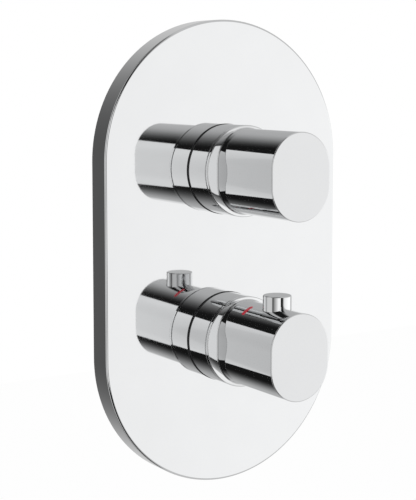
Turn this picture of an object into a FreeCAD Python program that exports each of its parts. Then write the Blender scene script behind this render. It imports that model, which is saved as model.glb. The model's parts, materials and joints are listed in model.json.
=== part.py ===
"""Concealed thermostatic shower valve with an oblong cover plate and two round controls.

Millimetres. +Z is up and the front of the valve faces -Y. The origin lies on the finished
wall (y = 0), midway between the two controls: the trim stands in front of it and the brass
body is built in behind it. Upper control: diverter with shut-off. Lower control: temperature.
"""
import FreeCAD, Part
import Sketcher
import math
import os
import re

Vector = FreeCAD.Vector
Rotation = FreeCAD.Rotation
Placement = FreeCAD.Placement

doc = FreeCAD.newDocument("ThermostaticShowerValve")
sheet = doc.addObject("Spreadsheet::Sheet", "Size")

# ---------------------------------------------------------------- driving dimensions
SIZES = {
    # cover plate and its wall seal
    "plate_width": 130.0,
    "plate_height": 220.0,
    "plate_depth": 12.0,
    "plate_wall": 2.2,
    "plate_edge": 0.9,
    "gasket_width": 4.0,
    "control_spacing": 80.0,
    # fixed sleeve and the black seal ring under it
    "sleeve_length": 13.6,
    "sleeve_flange": 1.8,
    "sleeve_mouth_gap": 1.0,
    "seal_thickness": 1.0,
    "seal_bulge": 0.15,
    "plate_hole_gap": 0.6,
    # control knobs
    "turn_gap": 0.4,
    "joint_edge": 0.2,
    "lip_thickness": 1.6,
    "lip_width": 1.5,
    "lip_edge": 0.35,
    "knob_radius": 19.8,
    "flat_wall": 2.3,
    "knob_reach": 58.5,
    "knob_edge": 0.4,
    "end_wall": 4.2,
    "hub_step": 1.5,
    "hub_length": 9.0,
    "grub_radius": 2.5,
    "grub_sink": 1.5,
    "grub_hex": 1.2,
    # safety button of the temperature knob
    "button_setback": 41.3,
    "button_radius": 6.5,
    "button_rise": 5.9,
    "button_wall": 1.5,
    "button_travel": 2.2,
    "button_spring_rest": 1.3,
    "button_edge": 0.2,
    "stem_radius": 2.0,
    "stem_groove_depth": 0.6,
    "clip_reach": 1.6,
    "clip_thickness": 0.6,
    "foot_step": 0.6,
    "foot_length": 1.4,
    "button_wire": 0.2,
    # red mark let into the temperature knob
    "mark_setback": 29.0,
    "mark_angle": 30.0,
    "mark_length": 6.6,
    "mark_width": 2.3,
    "mark_depth": 0.5,
    # turning stops inside the knobs
    "stop_wall": 1.5,
    "stop_clearance": 0.5,
    "stop_length": 5.0,
    "stop_lug_angle": 16.0,
    "rib_height": 2.5,
    "rib_root": 1.0,
    "rib_angle": 20.0,
    "stop_spare_angle": 1.5,
    "diverter_turn": 90.0,
    "cold_turn": 150.0,
    "hot_turn": 60.0,
    # adapters between knobs and spindles
    "socket_wall": 3.5,
    "socket_length": 11.0,
    "socket_depth": 9.5,
    "adapter_shaft_wall": 2.2,
    "adapter_web": 3.0,
    "screw_radius": 2.0,
    "screw_length": 12.0,
    "screw_head_radius": 3.8,
    "screw_head": 3.0,
    "hex_socket": 1.7,
    "hex_depth": 1.8,
    # brass body
    "boss_rise": 6.0,
    "barrel_wall": 2.5,
    "barrel_floor": 12.0,
    "bore_depth": 38.0,
    "flange_side": 6.5,
    "flange_end": 10.5,
    "flange_thickness": 6.0,
    "flange_corner": 8.0,
    "port_wall": 3.7,
    "inlet_step": 1.85,
    "inlet_depth": 25.0,
    "outlet_reach": 35.0,
    "outlet_step": 3.0,
    "thread_radius": 9.3,
    "thread_length": 13.0,
    "check_play": 0.7,
    "passage_radius": 3.0,
    "passage_wall": 1.5,
    "outlet_passage_radius": 3.5,
    "gallery_radius": 4.0,
    "gallery_wall": 1.5,
    "gallery_overrun": 16.0,
    "gallery_top": 8.0,
    "plug_step": 2.0,
    "plug_length": 7.0,
    # wall bracket
    "bracket_play": 5.5,
    "bracket_thickness": 2.0,
    "bracket_hole_gap": 1.5,
    "fixing_width": 56.0,
    "fixing_inset": 28.0,
    "fixing_hole": 2.75,
    "body_screw_side": 6.0,
    "body_screw_end": 7.0,
    "body_screw_radius": 2.45,
    "body_screw_head": 4.5,
    "body_screw_head_height": 2.8,
    "body_screw_slope": 1.0,
    "body_screw_length": 8.0,
    # threaded collars that hold the cartridges and carry the sleeves
    "collar_step": 1.85,
    "collar_grip": 1.8,
    "collar_sink": 2.0,
    "collar_setback": 0.2,
    "spanner_slot": 4.0,
    "spanner_slot_depth": 3.0,
    # parts that both cartridges share
    "housing_wall": 2.3,
    "neck_wall": 3.0,
    "neck_reach": 34.0,
    "spindle_radius": 6.0,
    "spline_radius": 4.5,
    "adapter_gap": 1.0,
    "ring_section": 1.0,
    "ring_play": 1.0,
    "ring_land": 1.25,
    # diverter cartridge
    "disc_rim": 1.4,
    "disc_thickness": 3.0,
    "disc_film": 0.05,
    "disc_port_radius": 2.6,
    "disc_port_pitch": 8.5,
    "disc_centre_radius": 3.2,
    "disc_slot_depth": 1.8,
    "driver_inset": 1.0,
    "driver_thickness": 6.0,
    "base_thickness": 3.0,
    "base_seal": 2.0,
    "base_way_gain": 0.2,
    "seal_way_gain": 0.4,
    # thermostatic cartridge
    "nut_play": 1.0,
    "nut_side": 3.3,
    "nut_gap": 0.3,
    "nut_front": 5.0,
    "nut_length": 10.0,
    "nut_wall": 3.5,
    "stud_radius": 3.5,
    "spindle_step": 2.6,
    "spindle_flange_thickness": 3.0,
    "seat_thickness": 2.0,
    "shuttle_bore_wall": 1.7,
    "shuttle_slip": 0.08,
    "shuttle_relief": 1.0,
    "shuttle_wall": 1.8,
    "shuttle_length": 13.0,
    "shuttle_band_length": 5.0,
    "shuttle_web": 2.0,
    "web_hole": 1.2,
    "cold_gap": 0.38,
    "hot_gap": 0.66,
    "hot_seat_floor": 1.0,
    "hot_seat_lap": 1.1,
    "cage_gap": 1.4,
    "window_radius": 1.7,
    "annulus_wall": 1.6,
    "annulus_length": 4.5,
    "element_radius": 3.6,
    "element_step": 0.8,
    "element_pin": 1.2,
    "plunger_thickness": 1.4,
    "overload_wire": 0.5,
    "overload_play": 0.55,
    "return_wire": 0.45,
    # check valves and strainers in the inlets
    "check_wall": 1.6,
    "check_length": 9.5,
    "strainer_thickness": 0.8,
    "strainer_hole": 0.7,
    "strainer_pitch": 2.75,
    "poppet_radius": 4.9,
    "poppet_lap": 0.9,
    "poppet_head": 1.5,
    "poppet_stem": 1.2,
    "poppet_travel": 1.4,
    "check_seat": 2.0,
    "check_guide": 2.5,
    "check_wire": 0.25,
    # clearances
    "fit": 0.05,
    "easy_fit": 0.1,
    "gap": 0.3,
}
for row, (alias, size) in enumerate(SIZES.items(), start=1):
    sheet.set(f"A{row}", alias)
    sheet.set(f"B{row}", str(size))
    sheet.setAlias(f"B{row}", alias)
doc.recompute()

# Sizes that follow from the driving ones, from the middle of the valve outwards.
FOLLOWING = {
    # diverter discs and the cartridge housings round them
    "disc_radius": "disc_port_pitch + disc_port_radius + disc_rim",
    "disc_chamber_radius": "disc_radius + gap",
    "driver_radius": "disc_radius - driver_inset",
    "housing_radius": "disc_chamber_radius + housing_wall",
    "bore_radius": "housing_radius + fit",
    "ring_groove": "2 * ring_section + ring_play",
    "ring_groove_radius": "bore_radius - 2 * ring_section - fit",
    # collars, sleeves and barrels
    "collar_radius": "bore_radius + collar_step",
    "collar_inner": "housing_radius - collar_grip",
    "barrel_radius": "collar_radius + barrel_wall",
    "barrel_depth": "bore_depth + barrel_floor",
    # spindle, neck, stops and the inside of the knobs
    "neck_radius": "spindle_radius + neck_wall",
    "spindle_flange": "spindle_radius + spindle_step",
    "socket_radius": "spline_radius + socket_wall",
    "adapter_shaft": "screw_head_radius + adapter_shaft_wall",
    "hub_radius": "adapter_shaft + hub_step",
    "stop_radius": "neck_radius + stop_wall",
    "rib_radius": "stop_radius + stop_clearance",
    "cavity_radius": "rib_radius + rib_height",
    "stop_lug_radius": "cavity_radius - stop_clearance",
    "sleeve_mouth": "stop_lug_radius + sleeve_mouth_gap",
    "knob_flat": "cavity_radius + flat_wall",
    "sleeve_radius": "knob_radius + lip_width",
    "grub_length": "knob_radius - hub_radius - grub_sink",
    # safety button, measured from the axis of its knob
    "button_floor": "cavity_radius + button_wall",
    "button_underside": "button_floor + button_travel + button_spring_rest",
    "stem_groove": "stem_radius - stem_groove_depth",
    "clip_radius": "stem_radius + clip_reach",
    "foot_radius": "stem_radius + foot_step",
    # thermostatic cartridge
    "shuttle_bore": "ring_groove_radius - shuttle_bore_wall",
    "shuttle_band": "shuttle_bore - shuttle_slip",
    "shuttle_end": "shuttle_bore - shuttle_relief",
    "shuttle_inner": "shuttle_end - shuttle_wall",
    "annulus_radius": "shuttle_bore + annulus_wall",
    "passage_shift": "annulus_length / 2 + ring_groove / 2 + ring_land",
    "hot_seat_inner": "shuttle_inner - hot_seat_lap",
    "hot_seat_cage": "element_radius + cage_gap",
    "element_collar": "element_radius + element_step",
    "nut_chamber_front": "nut_front - nut_play",
    "nut_chamber_back": "nut_front + nut_length + nut_play",
    "nut_cavity": "stud_radius + 2 * overload_wire + 2 * overload_play",
    "nut_flat": "nut_cavity + nut_side",
    "plunger_radius": "nut_cavity - gap",
    "stud_length": "nut_front + nut_wall - nut_chamber_front + gap - easy_fit",
    # check valves and the ports they sit in
    "seat_hole": "poppet_radius - poppet_lap",
    "check_chamber": "poppet_radius + poppet_lap",
    "check_radius": "check_chamber + check_wall",
    "check_bore_radius": "check_radius + easy_fit",
    "check_bore_length": "check_length + strainer_thickness + check_play",
    "port_boss_radius": "thread_radius + port_wall",
    "inlet_reach": "bore_radius + inlet_step + check_bore_length + thread_length",
    # waterways behind the bores
    "outlet_passage_depth": "bore_depth + passage_wall + outlet_passage_radius",
    "outlet_depth": "outlet_passage_depth - outlet_step",
    "gallery_depth": "outlet_passage_depth + outlet_passage_radius + passage_wall + gallery_radius",
    "plug_radius": "gallery_radius + plug_step",
    "gallery_ridge": "plug_radius + gallery_wall",
    # flange of the body and the bracket on the wall
    "flange_width": "2 * barrel_radius + 2 * flange_side",
    "flange_height": "control_spacing + 2 * barrel_radius + 2 * flange_end",
    "body_screw_width": "flange_width - 2 * body_screw_side",
    "body_screw_height": "flange_height - 2 * body_screw_end",
    "bracket_margin": "plate_wall + gap + gasket_width + bracket_play",
    "fixing_height": "plate_height - 2 * fixing_inset",
}


def bound(words):
    """Expression over the sheet for words that name its sizes or the ones that follow from them."""
    def spelt_out(word):
        name = word[0]
        if name in FOLLOWING:
            return f"({bound(FOLLOWING[name])})"
        return f"Size.{name}" if name in SIZES else name
    return re.sub(r"[a-z][a-z_]+", spelt_out, words)


def value(words):
    """Number that the words stand for."""
    return float(sheet.evalExpression(bound(words)))


# ---------------------------------------------------------------- stations
# Distances in front of the finished wall; a minus sign puts them behind it.
SLEEVE_BACK = "(plate_depth + seal_thickness)"
SLEEVE_FRONT = f"({SLEEVE_BACK} + sleeve_length)"
KNOB_BACK = f"({SLEEVE_FRONT} + turn_gap)"
LEDGE = f"({KNOB_BACK} + lip_thickness)"
KNOB_FRONT = "(plate_depth + knob_reach)"
KNOB_LENGTH = f"({KNOB_FRONT} - {KNOB_BACK})"
HUB_FRONT = f"({KNOB_FRONT} - end_wall)"
HUB_BACK = f"({HUB_FRONT} - hub_length)"
GRUB_AT = f"({HUB_FRONT} - hub_length / 2)"
BUTTON_AT = "(plate_depth + button_setback)"
ADAPTER_BACK = "(neck_reach + adapter_gap)"
COLLAR_FRONT = f"({SLEEVE_FRONT} - sleeve_flange - collar_setback)"
STOP_BACK = "(neck_reach - gap - stop_length)"
UPPER = "control_spacing / 2"
LOWER = "-control_spacing / 2"

# ---------------------------------------------------------------- modelling helpers
FACING = {
    "out": Rotation(Vector(1, 0, 0), 90),
    "in": Rotation(Vector(1, 0, 0), -90),
    "up": Rotation(),
    "down": Rotation(Vector(1, 0, 0), 180),
    "right": Rotation(Vector(0, 1, 0), 90),
    "left": Rotation(Vector(0, 1, 0), -90),
}
nodes = []


def part_of_valve(thing):
    """Enter a finished sub-part in the list of pieces."""
    nodes.append(thing)
    return thing


def put(thing, at, facing="up", turn=0.0):
    """Place a thing by three expressions, its own Z facing a named way."""
    turned_about_axis = FACING[facing].multiply(Rotation(Vector(0, 0, 1), turn))
    thing.Placement = Placement(Vector(*[value(words) for words in at]), turned_about_axis)
    for letter, words in zip("xyz", at):
        if words != "0":
            thing.setExpression(f"Placement.Base.{letter}", bound(words))
    return thing


def sized(kind, name, sizes):
    """Primitive whose named properties follow expressions."""
    thing = doc.addObject(kind, name)
    for prop, words in sizes.items():
        setattr(thing, prop, value(words))
        thing.setExpression(prop, bound(words))
    return thing


def rod(name, radius, length, at, facing):
    """Round bar from its start point."""
    return put(sized("Part::Cylinder", name, {"Radius": radius, "Height": length}), at, facing)


def block(name, size, corner):
    """Box from its lowest corner."""
    return put(sized("Part::Box", name, dict(zip(("Length", "Width", "Height"), size))), corner)


def hexagon(name, flat, length, at, facing):
    """Hexagonal bar with a given half width across flats."""
    across = {"Circumradius": f"({flat}) / cos(30)", "Height": length}
    prism = sized("Part::Prism", name, across)
    prism.Polygon = 6
    return put(prism, at, facing)


def sector(name, radius, angle, length, at, middle):
    """Wedge of a disc about a control's axis; middle is its direction, anticlockwise from +X."""
    wedge = sized("Part::Cylinder", name, {"Radius": radius, "Height": length, "Angle": angle})
    return put(wedge, at, "out", value(middle) - value(angle) / 2)


def fuse(label, *pieces):
    joined = doc.addObject("Part::MultiFuse", label)
    joined.Shapes = list(pieces)
    joined.Refine = True
    return joined


def cut(label, base, *tools):
    trimmed = doc.addObject("Part::Cut", label)
    trimmed.Base = base
    trimmed.Tool = tools[0] if len(tools) == 1 else fuse(label + "_tools", *tools)
    return trimmed


def group(label, pieces):
    together = doc.addObject("Part::Compound", label)
    together.Links = list(pieces)
    return together


def rounded(label, base, radius, wanted):
    """Fillet the edges of base that a test picks."""
    doc.recompute()
    soft = doc.addObject("Part::Fillet", label)
    soft.Base = base
    size = value(radius)
    edges = enumerate(base.Shape.Edges, start=1)
    soft.Edges = [(number, size, size) for number, edge in edges if wanted(edge)]
    return soft


def lies_at(edge, station):
    """Whether an edge lies wholly in the plane a given distance in front of the wall."""
    box = edge.BoundBox
    return abs(box.YMin + station) < 1e-4 and abs(box.YMax + station) < 1e-4


def origin_plane(body, role):
    return [feature for feature in body.Origin.OriginFeatures if feature.Role == role][0]


def new_sketch(body, name, role):
    sketch = body.newObject("Sketcher::SketchObject", name)
    sketch.AttachmentSupport = (origin_plane(body, role), [""])
    sketch.MapMode = "FlatFace"
    return sketch


def pin_down(sketch, geometry, point, across, along):
    """Fix a sketch point by two expressions from the sketch's origin; None leaves one free."""
    for letter, words, axis in (("X", across, -2), ("Y", along, -1)):
        if words is None:
            continue
        if words == "0":
            sketch.addConstraint(Sketcher.Constraint("PointOnObject", geometry, point, axis))
            continue
        distance = Sketcher.Constraint(f"Distance{letter}", -1, 1, geometry, point, value(words))
        name = f"{letter}_{geometry}_{point}"
        sketch.renameConstraint(sketch.addConstraint(distance), name)
        sketch.setExpression(f"Constraints.{name}", bound(words))


def outline(sketch, corners):
    """Closed outline through corners given as pairs of expressions."""
    spots = [Vector(value(across), value(along), 0) for across, along in corners]
    count = len(spots)
    for here in range(count):
        sketch.addGeometry(Part.LineSegment(spots[here], spots[(here + 1) % count]), False)
    for here in range(count):
        sketch.addConstraint(Sketcher.Constraint("Coincident", here, 2, (here + 1) % count, 1))
    for here, (across, along) in enumerate(corners):
        pin_down(sketch, here, 1, across, along)


def turned(label, profile, at, facing="out"):
    """Turned piece; the profile's corners are (radius, run along the axis)."""
    body = doc.addObject("PartDesign::Body", label)
    sketch = new_sketch(body, label + "_profile", "XZ_Plane")
    outline(sketch, profile)
    turning = body.newObject("PartDesign::Revolution", label + "_turning")
    turning.Profile = (sketch, [""])
    turning.ReferenceAxis = (sketch, ["V_Axis"])
    turning.Angle = 360.0
    return put(body, at, facing)


def tube(label, inner, outer, length, at, facing="out"):
    corners = [(inner, "0"), (outer, "0"), (outer, length), (inner, length)]
    return turned(label, corners, at, facing)


def oblong(sketch, width, height):
    """Upright oblong outline with semicircular ends, centred on the sketch's origin."""
    half = value(width) / 2
    straight = value(height) / 2 - half
    sketch.addGeometry(Part.LineSegment(Vector(half, -straight, 0), Vector(half, straight, 0)), False)
    top = Part.Circle(Vector(0, straight, 0), Vector(0, 0, 1), half)
    sketch.addGeometry(Part.ArcOfCircle(top, 0, math.pi), False)
    sketch.addGeometry(Part.LineSegment(Vector(-half, straight, 0), Vector(-half, -straight, 0)), False)
    low = Part.Circle(Vector(0, -straight, 0), Vector(0, 0, 1), half)
    sketch.addGeometry(Part.ArcOfCircle(low, math.pi, 2 * math.pi), False)
    for here, end, there, start in ((0, 2, 1, 1), (1, 2, 2, 1), (2, 2, 3, 1), (3, 2, 0, 1)):
        sketch.addConstraint(Sketcher.Constraint("Coincident", here, end, there, start))
    pin_down(sketch, 0, 1, f"({width}) / 2", f"({width}) / 2 - ({height}) / 2")
    pin_down(sketch, 0, 2, f"({width}) / 2", f"({height}) / 2 - ({width}) / 2")
    pin_down(sketch, 2, 1, f"-({width}) / 2", f"({height}) / 2 - ({width}) / 2")
    pin_down(sketch, 2, 2, f"-({width}) / 2", f"({width}) / 2 - ({height}) / 2")
    pin_down(sketch, 1, 3, None, f"({height}) / 2 - ({width}) / 2")
    pin_down(sketch, 3, 3, None, f"({width}) / 2 - ({height}) / 2")


def oblong_plate(label, width, height, thickness, station, level="0"):
    """Flat upright oblong whose back stands a given distance in front of the wall."""
    body = doc.addObject("PartDesign::Body", label)
    sketch = new_sketch(body, label + "_outline", "XZ_Plane")
    oblong(sketch, width, height)
    pad = body.newObject("PartDesign::Pad", label + "_pad")
    pad.Profile = (sketch, [""])
    pad.Length = value(thickness)
    pad.setExpression("Length", bound(thickness))
    return put(body, ("0", f"-({station})", level))


def biarc(start, end, leaving, arriving):
    """Two tangent arcs between two points, with unit directions at both ends."""
    chord = end - start
    both = leaving + arriving
    spread = 2 * (1 - leaving.dot(arriving))
    reach = (math.sqrt(chord.dot(both) ** 2 + spread * chord.dot(chord)) - chord.dot(both)) / spread
    joint = (start + end + (leaving - arriving) * reach) * 0.5
    arcs = []
    for near, corner, far in ((start, start + leaving * reach, joint), (joint, end - arriving * reach, end)):
        weight = near.distanceToPoint(far) / (2 * reach)
        middle = (near + far + corner * (2 * weight)) * (1 / (2 + 2 * weight))
        arcs.append(Part.Arc(near, middle, far).toShape())
    return arcs


def coil(label, mean_radius, wire, length, turns, at, facing):
    """Helical spring between two seats that stand a length apart; at is on the first one.

    The wire is swept along tangent arcs, a pair for each quarter turn.
    """
    radius, thickness = value(mean_radius), value(wire)
    first = thickness + value("fit")
    climb = (value(length) - 2 * first) / (2 * math.pi * turns)

    def spot(angle):
        return Vector(radius * math.cos(angle), radius * math.sin(angle), first + climb * angle)

    def heading(angle):
        return Vector(-radius * math.sin(angle), radius * math.cos(angle), climb).normalize()

    quarter = math.pi / 2
    arcs = []
    for number in range(4 * turns):
        low, high = number * quarter, (number + 1) * quarter
        arcs += biarc(spot(low), spot(high), heading(low), heading(high))
    section = Part.Wire(Part.Circle(spot(0), heading(0), thickness).toShape())
    spring = doc.addObject("Part::Feature", label)
    spring.Shape = Part.Wire(arcs).makePipeShell([section], True, False)
    return put(spring, at, facing)


def o_ring(name, mean_radius, section, at, facing="out"):
    return put(sized("Part::Torus", name, {"Radius1": mean_radius, "Radius2": section}), at, facing)


# ---------------------------------------------------------------- cover plate
def make_face_plate():
    """Pressed oblong cover, hollow at the back, with one hole for each control."""
    inner_width = "(plate_width - 2 * plate_wall)"
    inner_height = "(plate_height - 2 * plate_wall)"
    shell = oblong_plate("plate_blank", "plate_width", "plate_height", "plate_depth", "0")
    soft = rounded("plate_rounded", shell, "plate_edge", lambda edge: lies_at(edge, value("plate_depth")))
    hollow = oblong_plate("plate_hollow", inner_width, inner_height, "plate_depth - plate_wall", "0")
    tools = [hollow]
    for name, level in (("upper", UPPER), ("lower", LOWER)):
        tools.append(rod(f"plate_{name}_hole", "collar_radius + plate_hole_gap", "2 * plate_depth",
                         ("0", "plate_depth / 2", level), "out"))
    part_of_valve(cut("face_plate", soft, *tools))


def make_plate_gasket():
    """Foam strip that fills the rim of the plate and seals it to the wall."""
    outer_width = "(plate_width - 2 * plate_wall - 2 * gap)"
    outer_height = "(plate_height - 2 * plate_wall - 2 * gap)"
    depth = "plate_depth - plate_wall"
    strip = oblong_plate("gasket_outside", outer_width, outer_height, depth, "0")
    inside = oblong_plate("gasket_inside", f"{outer_width} - 2 * gasket_width",
                          f"{outer_height} - 2 * gasket_width", "2 * plate_depth", "-plate_depth / 2")
    part_of_valve(cut("plate_gasket", strip, inside))


def make_wall_bracket():
    """Flat steel bracket on the wall; it carries the body and is hidden by the plate."""
    width = "(plate_width - 2 * bracket_margin)"
    height = "(plate_height - 2 * bracket_margin)"
    blank = oblong_plate("bracket_blank", width, height, "bracket_thickness", "0")
    through = "4 * bracket_thickness"
    behind = "2 * bracket_thickness"
    tools = []
    for name, level in (("upper", UPPER), ("lower", LOWER)):
        tools.append(rod(f"bracket_{name}_hole", "barrel_radius + bracket_hole_gap", through,
                         ("0", behind, level), "out"))
    for side, sign in (("left", "-"), ("right", "")):
        for end, rise in (("top", ""), ("foot", "-")):
            tools.append(rod(f"fixing_{side}_{end}", "fixing_hole", through,
                             (f"{sign}fixing_width / 2", behind, f"{rise}fixing_height / 2"), "out"))
            tools.append(rod(f"screw_way_{side}_{end}", "body_screw_radius + gap", through,
                             (f"{sign}body_screw_width / 2", behind, f"{rise}body_screw_height / 2"), "out"))
    part_of_valve(cut("wall_bracket", blank, *tools))


def make_body_screws():
    """Four pan-head screws through the bracket into the flange of the body."""
    screws = []
    head_at = "-bracket_thickness"
    for side, sign in (("left", "-"), ("right", "")):
        for end, rise in (("top", ""), ("foot", "-")):
            where = (f"{sign}body_screw_width / 2", head_at, f"{rise}body_screw_height / 2")
            name = f"body_screw_{side}_{end}"
            profile = [("0", "-body_screw_length"), ("body_screw_radius", "-body_screw_length"),
                       ("body_screw_radius", "0"), ("body_screw_head", "0"),
                       ("body_screw_head", "body_screw_head_height - body_screw_slope"),
                       ("body_screw_head - body_screw_slope", "body_screw_head_height"),
                       ("0", "body_screw_head_height")]
            blank = turned(name + "_blank", profile, where)
            socket_at = (where[0], f"{head_at} - body_screw_head_height + hex_depth", where[2])
            socket = hexagon(name + "_socket", "hex_socket", "2 * hex_depth", socket_at, "out")
            screws.append(cut(name, blank, socket))
    part_of_valve(group("body_screws", screws))


# ---------------------------------------------------------------- sleeves and seal rings
def make_sleeve(name, level):
    """Fixed bright sleeve: screwed on the collar, it clamps the seal ring and the plate."""
    inner = "collar_radius + fit"
    profile = [(inner, "0"), ("sleeve_radius", "0"), ("sleeve_radius", "sleeve_length - joint_edge"),
               ("sleeve_radius - joint_edge", "sleeve_length"), ("sleeve_mouth", "sleeve_length"),
               ("sleeve_mouth", "sleeve_length - sleeve_flange"), (inner, "sleeve_length - sleeve_flange")]
    part_of_valve(turned(f"{name}_sleeve", profile, ("0", f"-{SLEEVE_BACK}", level)))


def make_seal_ring(name, level):
    """Flat black ring between the sleeve and the plate."""
    inner = "collar_radius + gap"
    outer = "sleeve_radius + seal_bulge"
    at = ("0", "-plate_depth", level)
    part_of_valve(tube(f"{name}_seal_ring", inner, outer, "seal_thickness", at))


# ---------------------------------------------------------------- knobs
def stop_rib(name, level):
    """Rib inside a knob, at the bottom, that meets the lugs of the stop ring."""
    at = ("0", f"-({STOP_BACK} + gap)", level)
    length = "stop_length - gap"
    wedge = sector(f"{name}_rib_wedge", "cavity_radius + rib_root", "rib_angle", length, at, "270")
    core = rod(f"{name}_rib_core", "rib_radius", "2 * stop_length",
               ("0", f"-({STOP_BACK} - stop_length / 2)", level), "out")
    return cut(f"{name}_rib", wedge, core)


def knob_lip(name, level):
    """Round lip at the back of a knob, level with the sleeve behind it."""
    profile = [("cavity_radius", "0"), ("sleeve_radius - joint_edge", "0"), ("sleeve_radius", "joint_edge"),
               ("sleeve_radius", "lip_thickness"), ("cavity_radius", "lip_thickness")]
    lip = turned(f"{name}_knob_lip", profile, ("0", f"-{KNOB_BACK}", level))
    ledge = value(LEDGE)
    rim = value("sleeve_radius")
    return rounded(f"{name}_knob_lip_rounded", lip, "lip_edge",
                   lambda edge: lies_at(edge, ledge) and edge.BoundBox.XMax > rim - 1e-3)


def knob_barrel(name, level):
    """Barrel of a knob: an upright oblong like the cover plate, drawn forward from inside the lip."""
    buried = "lip_thickness / 2"
    barrel = oblong_plate(f"{name}_knob_barrel", "2 * knob_flat", "2 * knob_radius",
                          f"{KNOB_LENGTH} - {buried}", f"{KNOB_BACK} + {buried}", level)
    end = value(KNOB_FRONT)
    return rounded(f"{name}_knob_barrel_rounded", barrel, "knob_edge", lambda edge: lies_at(edge, end))


def knob_bore(name, level):
    """What is bored out of a knob from behind: the open cavity and the hub in front of it."""
    hub_start = f"{KNOB_LENGTH} - end_wall - hub_length"
    hub_end = f"{KNOB_LENGTH} - end_wall"
    profile = [("0", "-lip_thickness"), ("cavity_radius", "-lip_thickness"), ("cavity_radius", hub_start),
               ("hub_radius", hub_start), ("hub_radius", hub_end), ("0", hub_end)]
    return turned(f"{name}_knob_bore", profile, ("0", f"-{KNOB_BACK}", level))


def knob_blank(name, level):
    """Knob before its small ways are cut: lip and barrel bored from behind, and the stop rib."""
    solid = fuse(f"{name}_knob_solid", knob_lip(name, level), knob_barrel(name, level))
    bored = cut(f"{name}_knob_bored", solid, knob_bore(name, level))
    return fuse(f"{name}_knob_ribbed", bored, stop_rib(name, level))


def grub_way(name, level):
    """Tapped way for the grub screw, from below into the hub."""
    return rod(f"{name}_grub_way", "grub_radius + fit", "2 * knob_radius",
               ("0", f"-{GRUB_AT}", level), "down")


# Centre of the arc that closes the temperature knob's oblong section at the top.
ARC_LEVEL = f"({LOWER} + knob_radius - knob_flat)"


def mark_tool(name, depth_to, depth_from):
    """Round-ended strip laid round the top arc of the temperature knob, between two radii."""
    straight = "(mark_length - mark_width)"
    height = f"({depth_to}) - ({depth_from})"
    pieces = [block(f"{name}_bar", (straight, "mark_width", height),
                    (f"-{straight} / 2", "-mark_width / 2", depth_from))]
    for side, sign in (("left", "-"), ("right", "")):
        pieces.append(rod(f"{name}_{side}", "mark_width / 2", height,
                          (f"{sign}{straight} / 2", "0", depth_from), "up"))
    strip = fuse(name, *pieces)
    where = Vector(0, -value("plate_depth + mark_setback"), value(ARC_LEVEL))
    strip.Placement = Placement(where, Rotation(Vector(0, -1, 0), value("mark_angle")))
    strip.setExpression("Placement.Base.y", bound("-(plate_depth + mark_setback)"))
    strip.setExpression("Placement.Base.z", bound(ARC_LEVEL))
    strip.setExpression("Placement.Rotation.Angle", bound("mark_angle"))
    return strip


def make_upper_knob():
    part_of_valve(cut("upper_knob", knob_blank("upper", UPPER), grub_way("upper", UPPER)))


def make_lower_knob():
    """Temperature knob: the same turning, with a stepped way for the button and a red mark."""
    way = rod("button_way", "button_radius + easy_fit", "knob_radius",
              ("0", f"-{BUTTON_AT}", f"{LOWER} + button_floor"), "up")
    stem_way = rod("button_stem_way", "stem_radius + easy_fit", "knob_radius",
                   ("0", f"-{BUTTON_AT}", LOWER), "up")
    recess = mark_tool("mark_recess", "knob_flat + 1", "knob_flat - mark_depth")
    tools = (grub_way("lower", LOWER), way, stem_way, recess)
    part_of_valve(cut("lower_knob", knob_blank("lower", LOWER), *tools))


def make_heat_mark():
    """Red inlay, flush with the round of the knob."""
    strip = mark_tool("mark_strip", "knob_flat + 1", "knob_flat - mark_depth")
    round_of_knob = rod("mark_round", "knob_flat", "2 * mark_width",
                        ("0", "-(plate_depth + mark_setback - mark_width)", ARC_LEVEL), "out")
    mark = doc.addObject("Part::Common", "heat_mark")
    mark.Base = strip
    mark.Tool = round_of_knob
    part_of_valve(mark)


def make_grub_screw(name, level):
    """Cup-point grub screw that locks the knob on its adapter."""
    start = ("0", f"-{GRUB_AT}", f"{level} - hub_radius + fit")
    blank = rod(f"{name}_grub_blank", "grub_radius", "grub_length", start, "down")
    socket_at = ("0", f"-{GRUB_AT}", f"{level} - hub_radius + fit - grub_length + hex_depth")
    socket = hexagon(f"{name}_grub_socket", "grub_hex", "2 * hex_depth", socket_at, "down")
    part_of_valve(cut(f"{name}_grub_screw", blank, socket))


# ---------------------------------------------------------------- safety button
CLIP_TOP = "(sqrt(cavity_radius * cavity_radius - clip_radius * clip_radius) - easy_fit)"
STEM_END = f"({CLIP_TOP} - clip_thickness - foot_length)"


def make_safety_button():
    """Push button on top of the temperature knob: head, stem with a clip groove, and foot."""
    profile = [("0", STEM_END), ("foot_radius", STEM_END), ("foot_radius", f"{STEM_END} + foot_length"),
               ("stem_groove", f"{STEM_END} + foot_length"), ("stem_groove", CLIP_TOP),
               ("stem_radius", CLIP_TOP), ("stem_radius", "button_underside"),
               ("button_radius", "button_underside"), ("button_radius", "knob_radius + button_rise"),
               ("0", "knob_radius + button_rise")]
    blank = turned("button_turning", profile, ("0", f"-{BUTTON_AT}", LOWER), "up")
    top = value(LOWER) + value("knob_radius + button_rise")
    part_of_valve(rounded("safety_button", blank, "button_edge",
                          lambda edge: edge.BoundBox.ZMin > top - 1e-3))


def make_button_clip():
    """Open spring clip in the groove of the stem, under the wall of the knob."""
    at = ("0", f"-{BUTTON_AT}", f"{LOWER} + {CLIP_TOP} - clip_thickness")
    ring = tube("clip_ring", "stem_groove", "clip_radius", "clip_thickness", at, "up")
    mouth = block("clip_mouth", ("2 * stem_groove", "clip_radius + 1", "2 * clip_thickness"),
                  ("-stem_groove", f"-{BUTTON_AT}", f"{LOWER} + {CLIP_TOP} - 1.5 * clip_thickness"))
    part_of_valve(cut("button_clip", ring, mouth))


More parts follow.
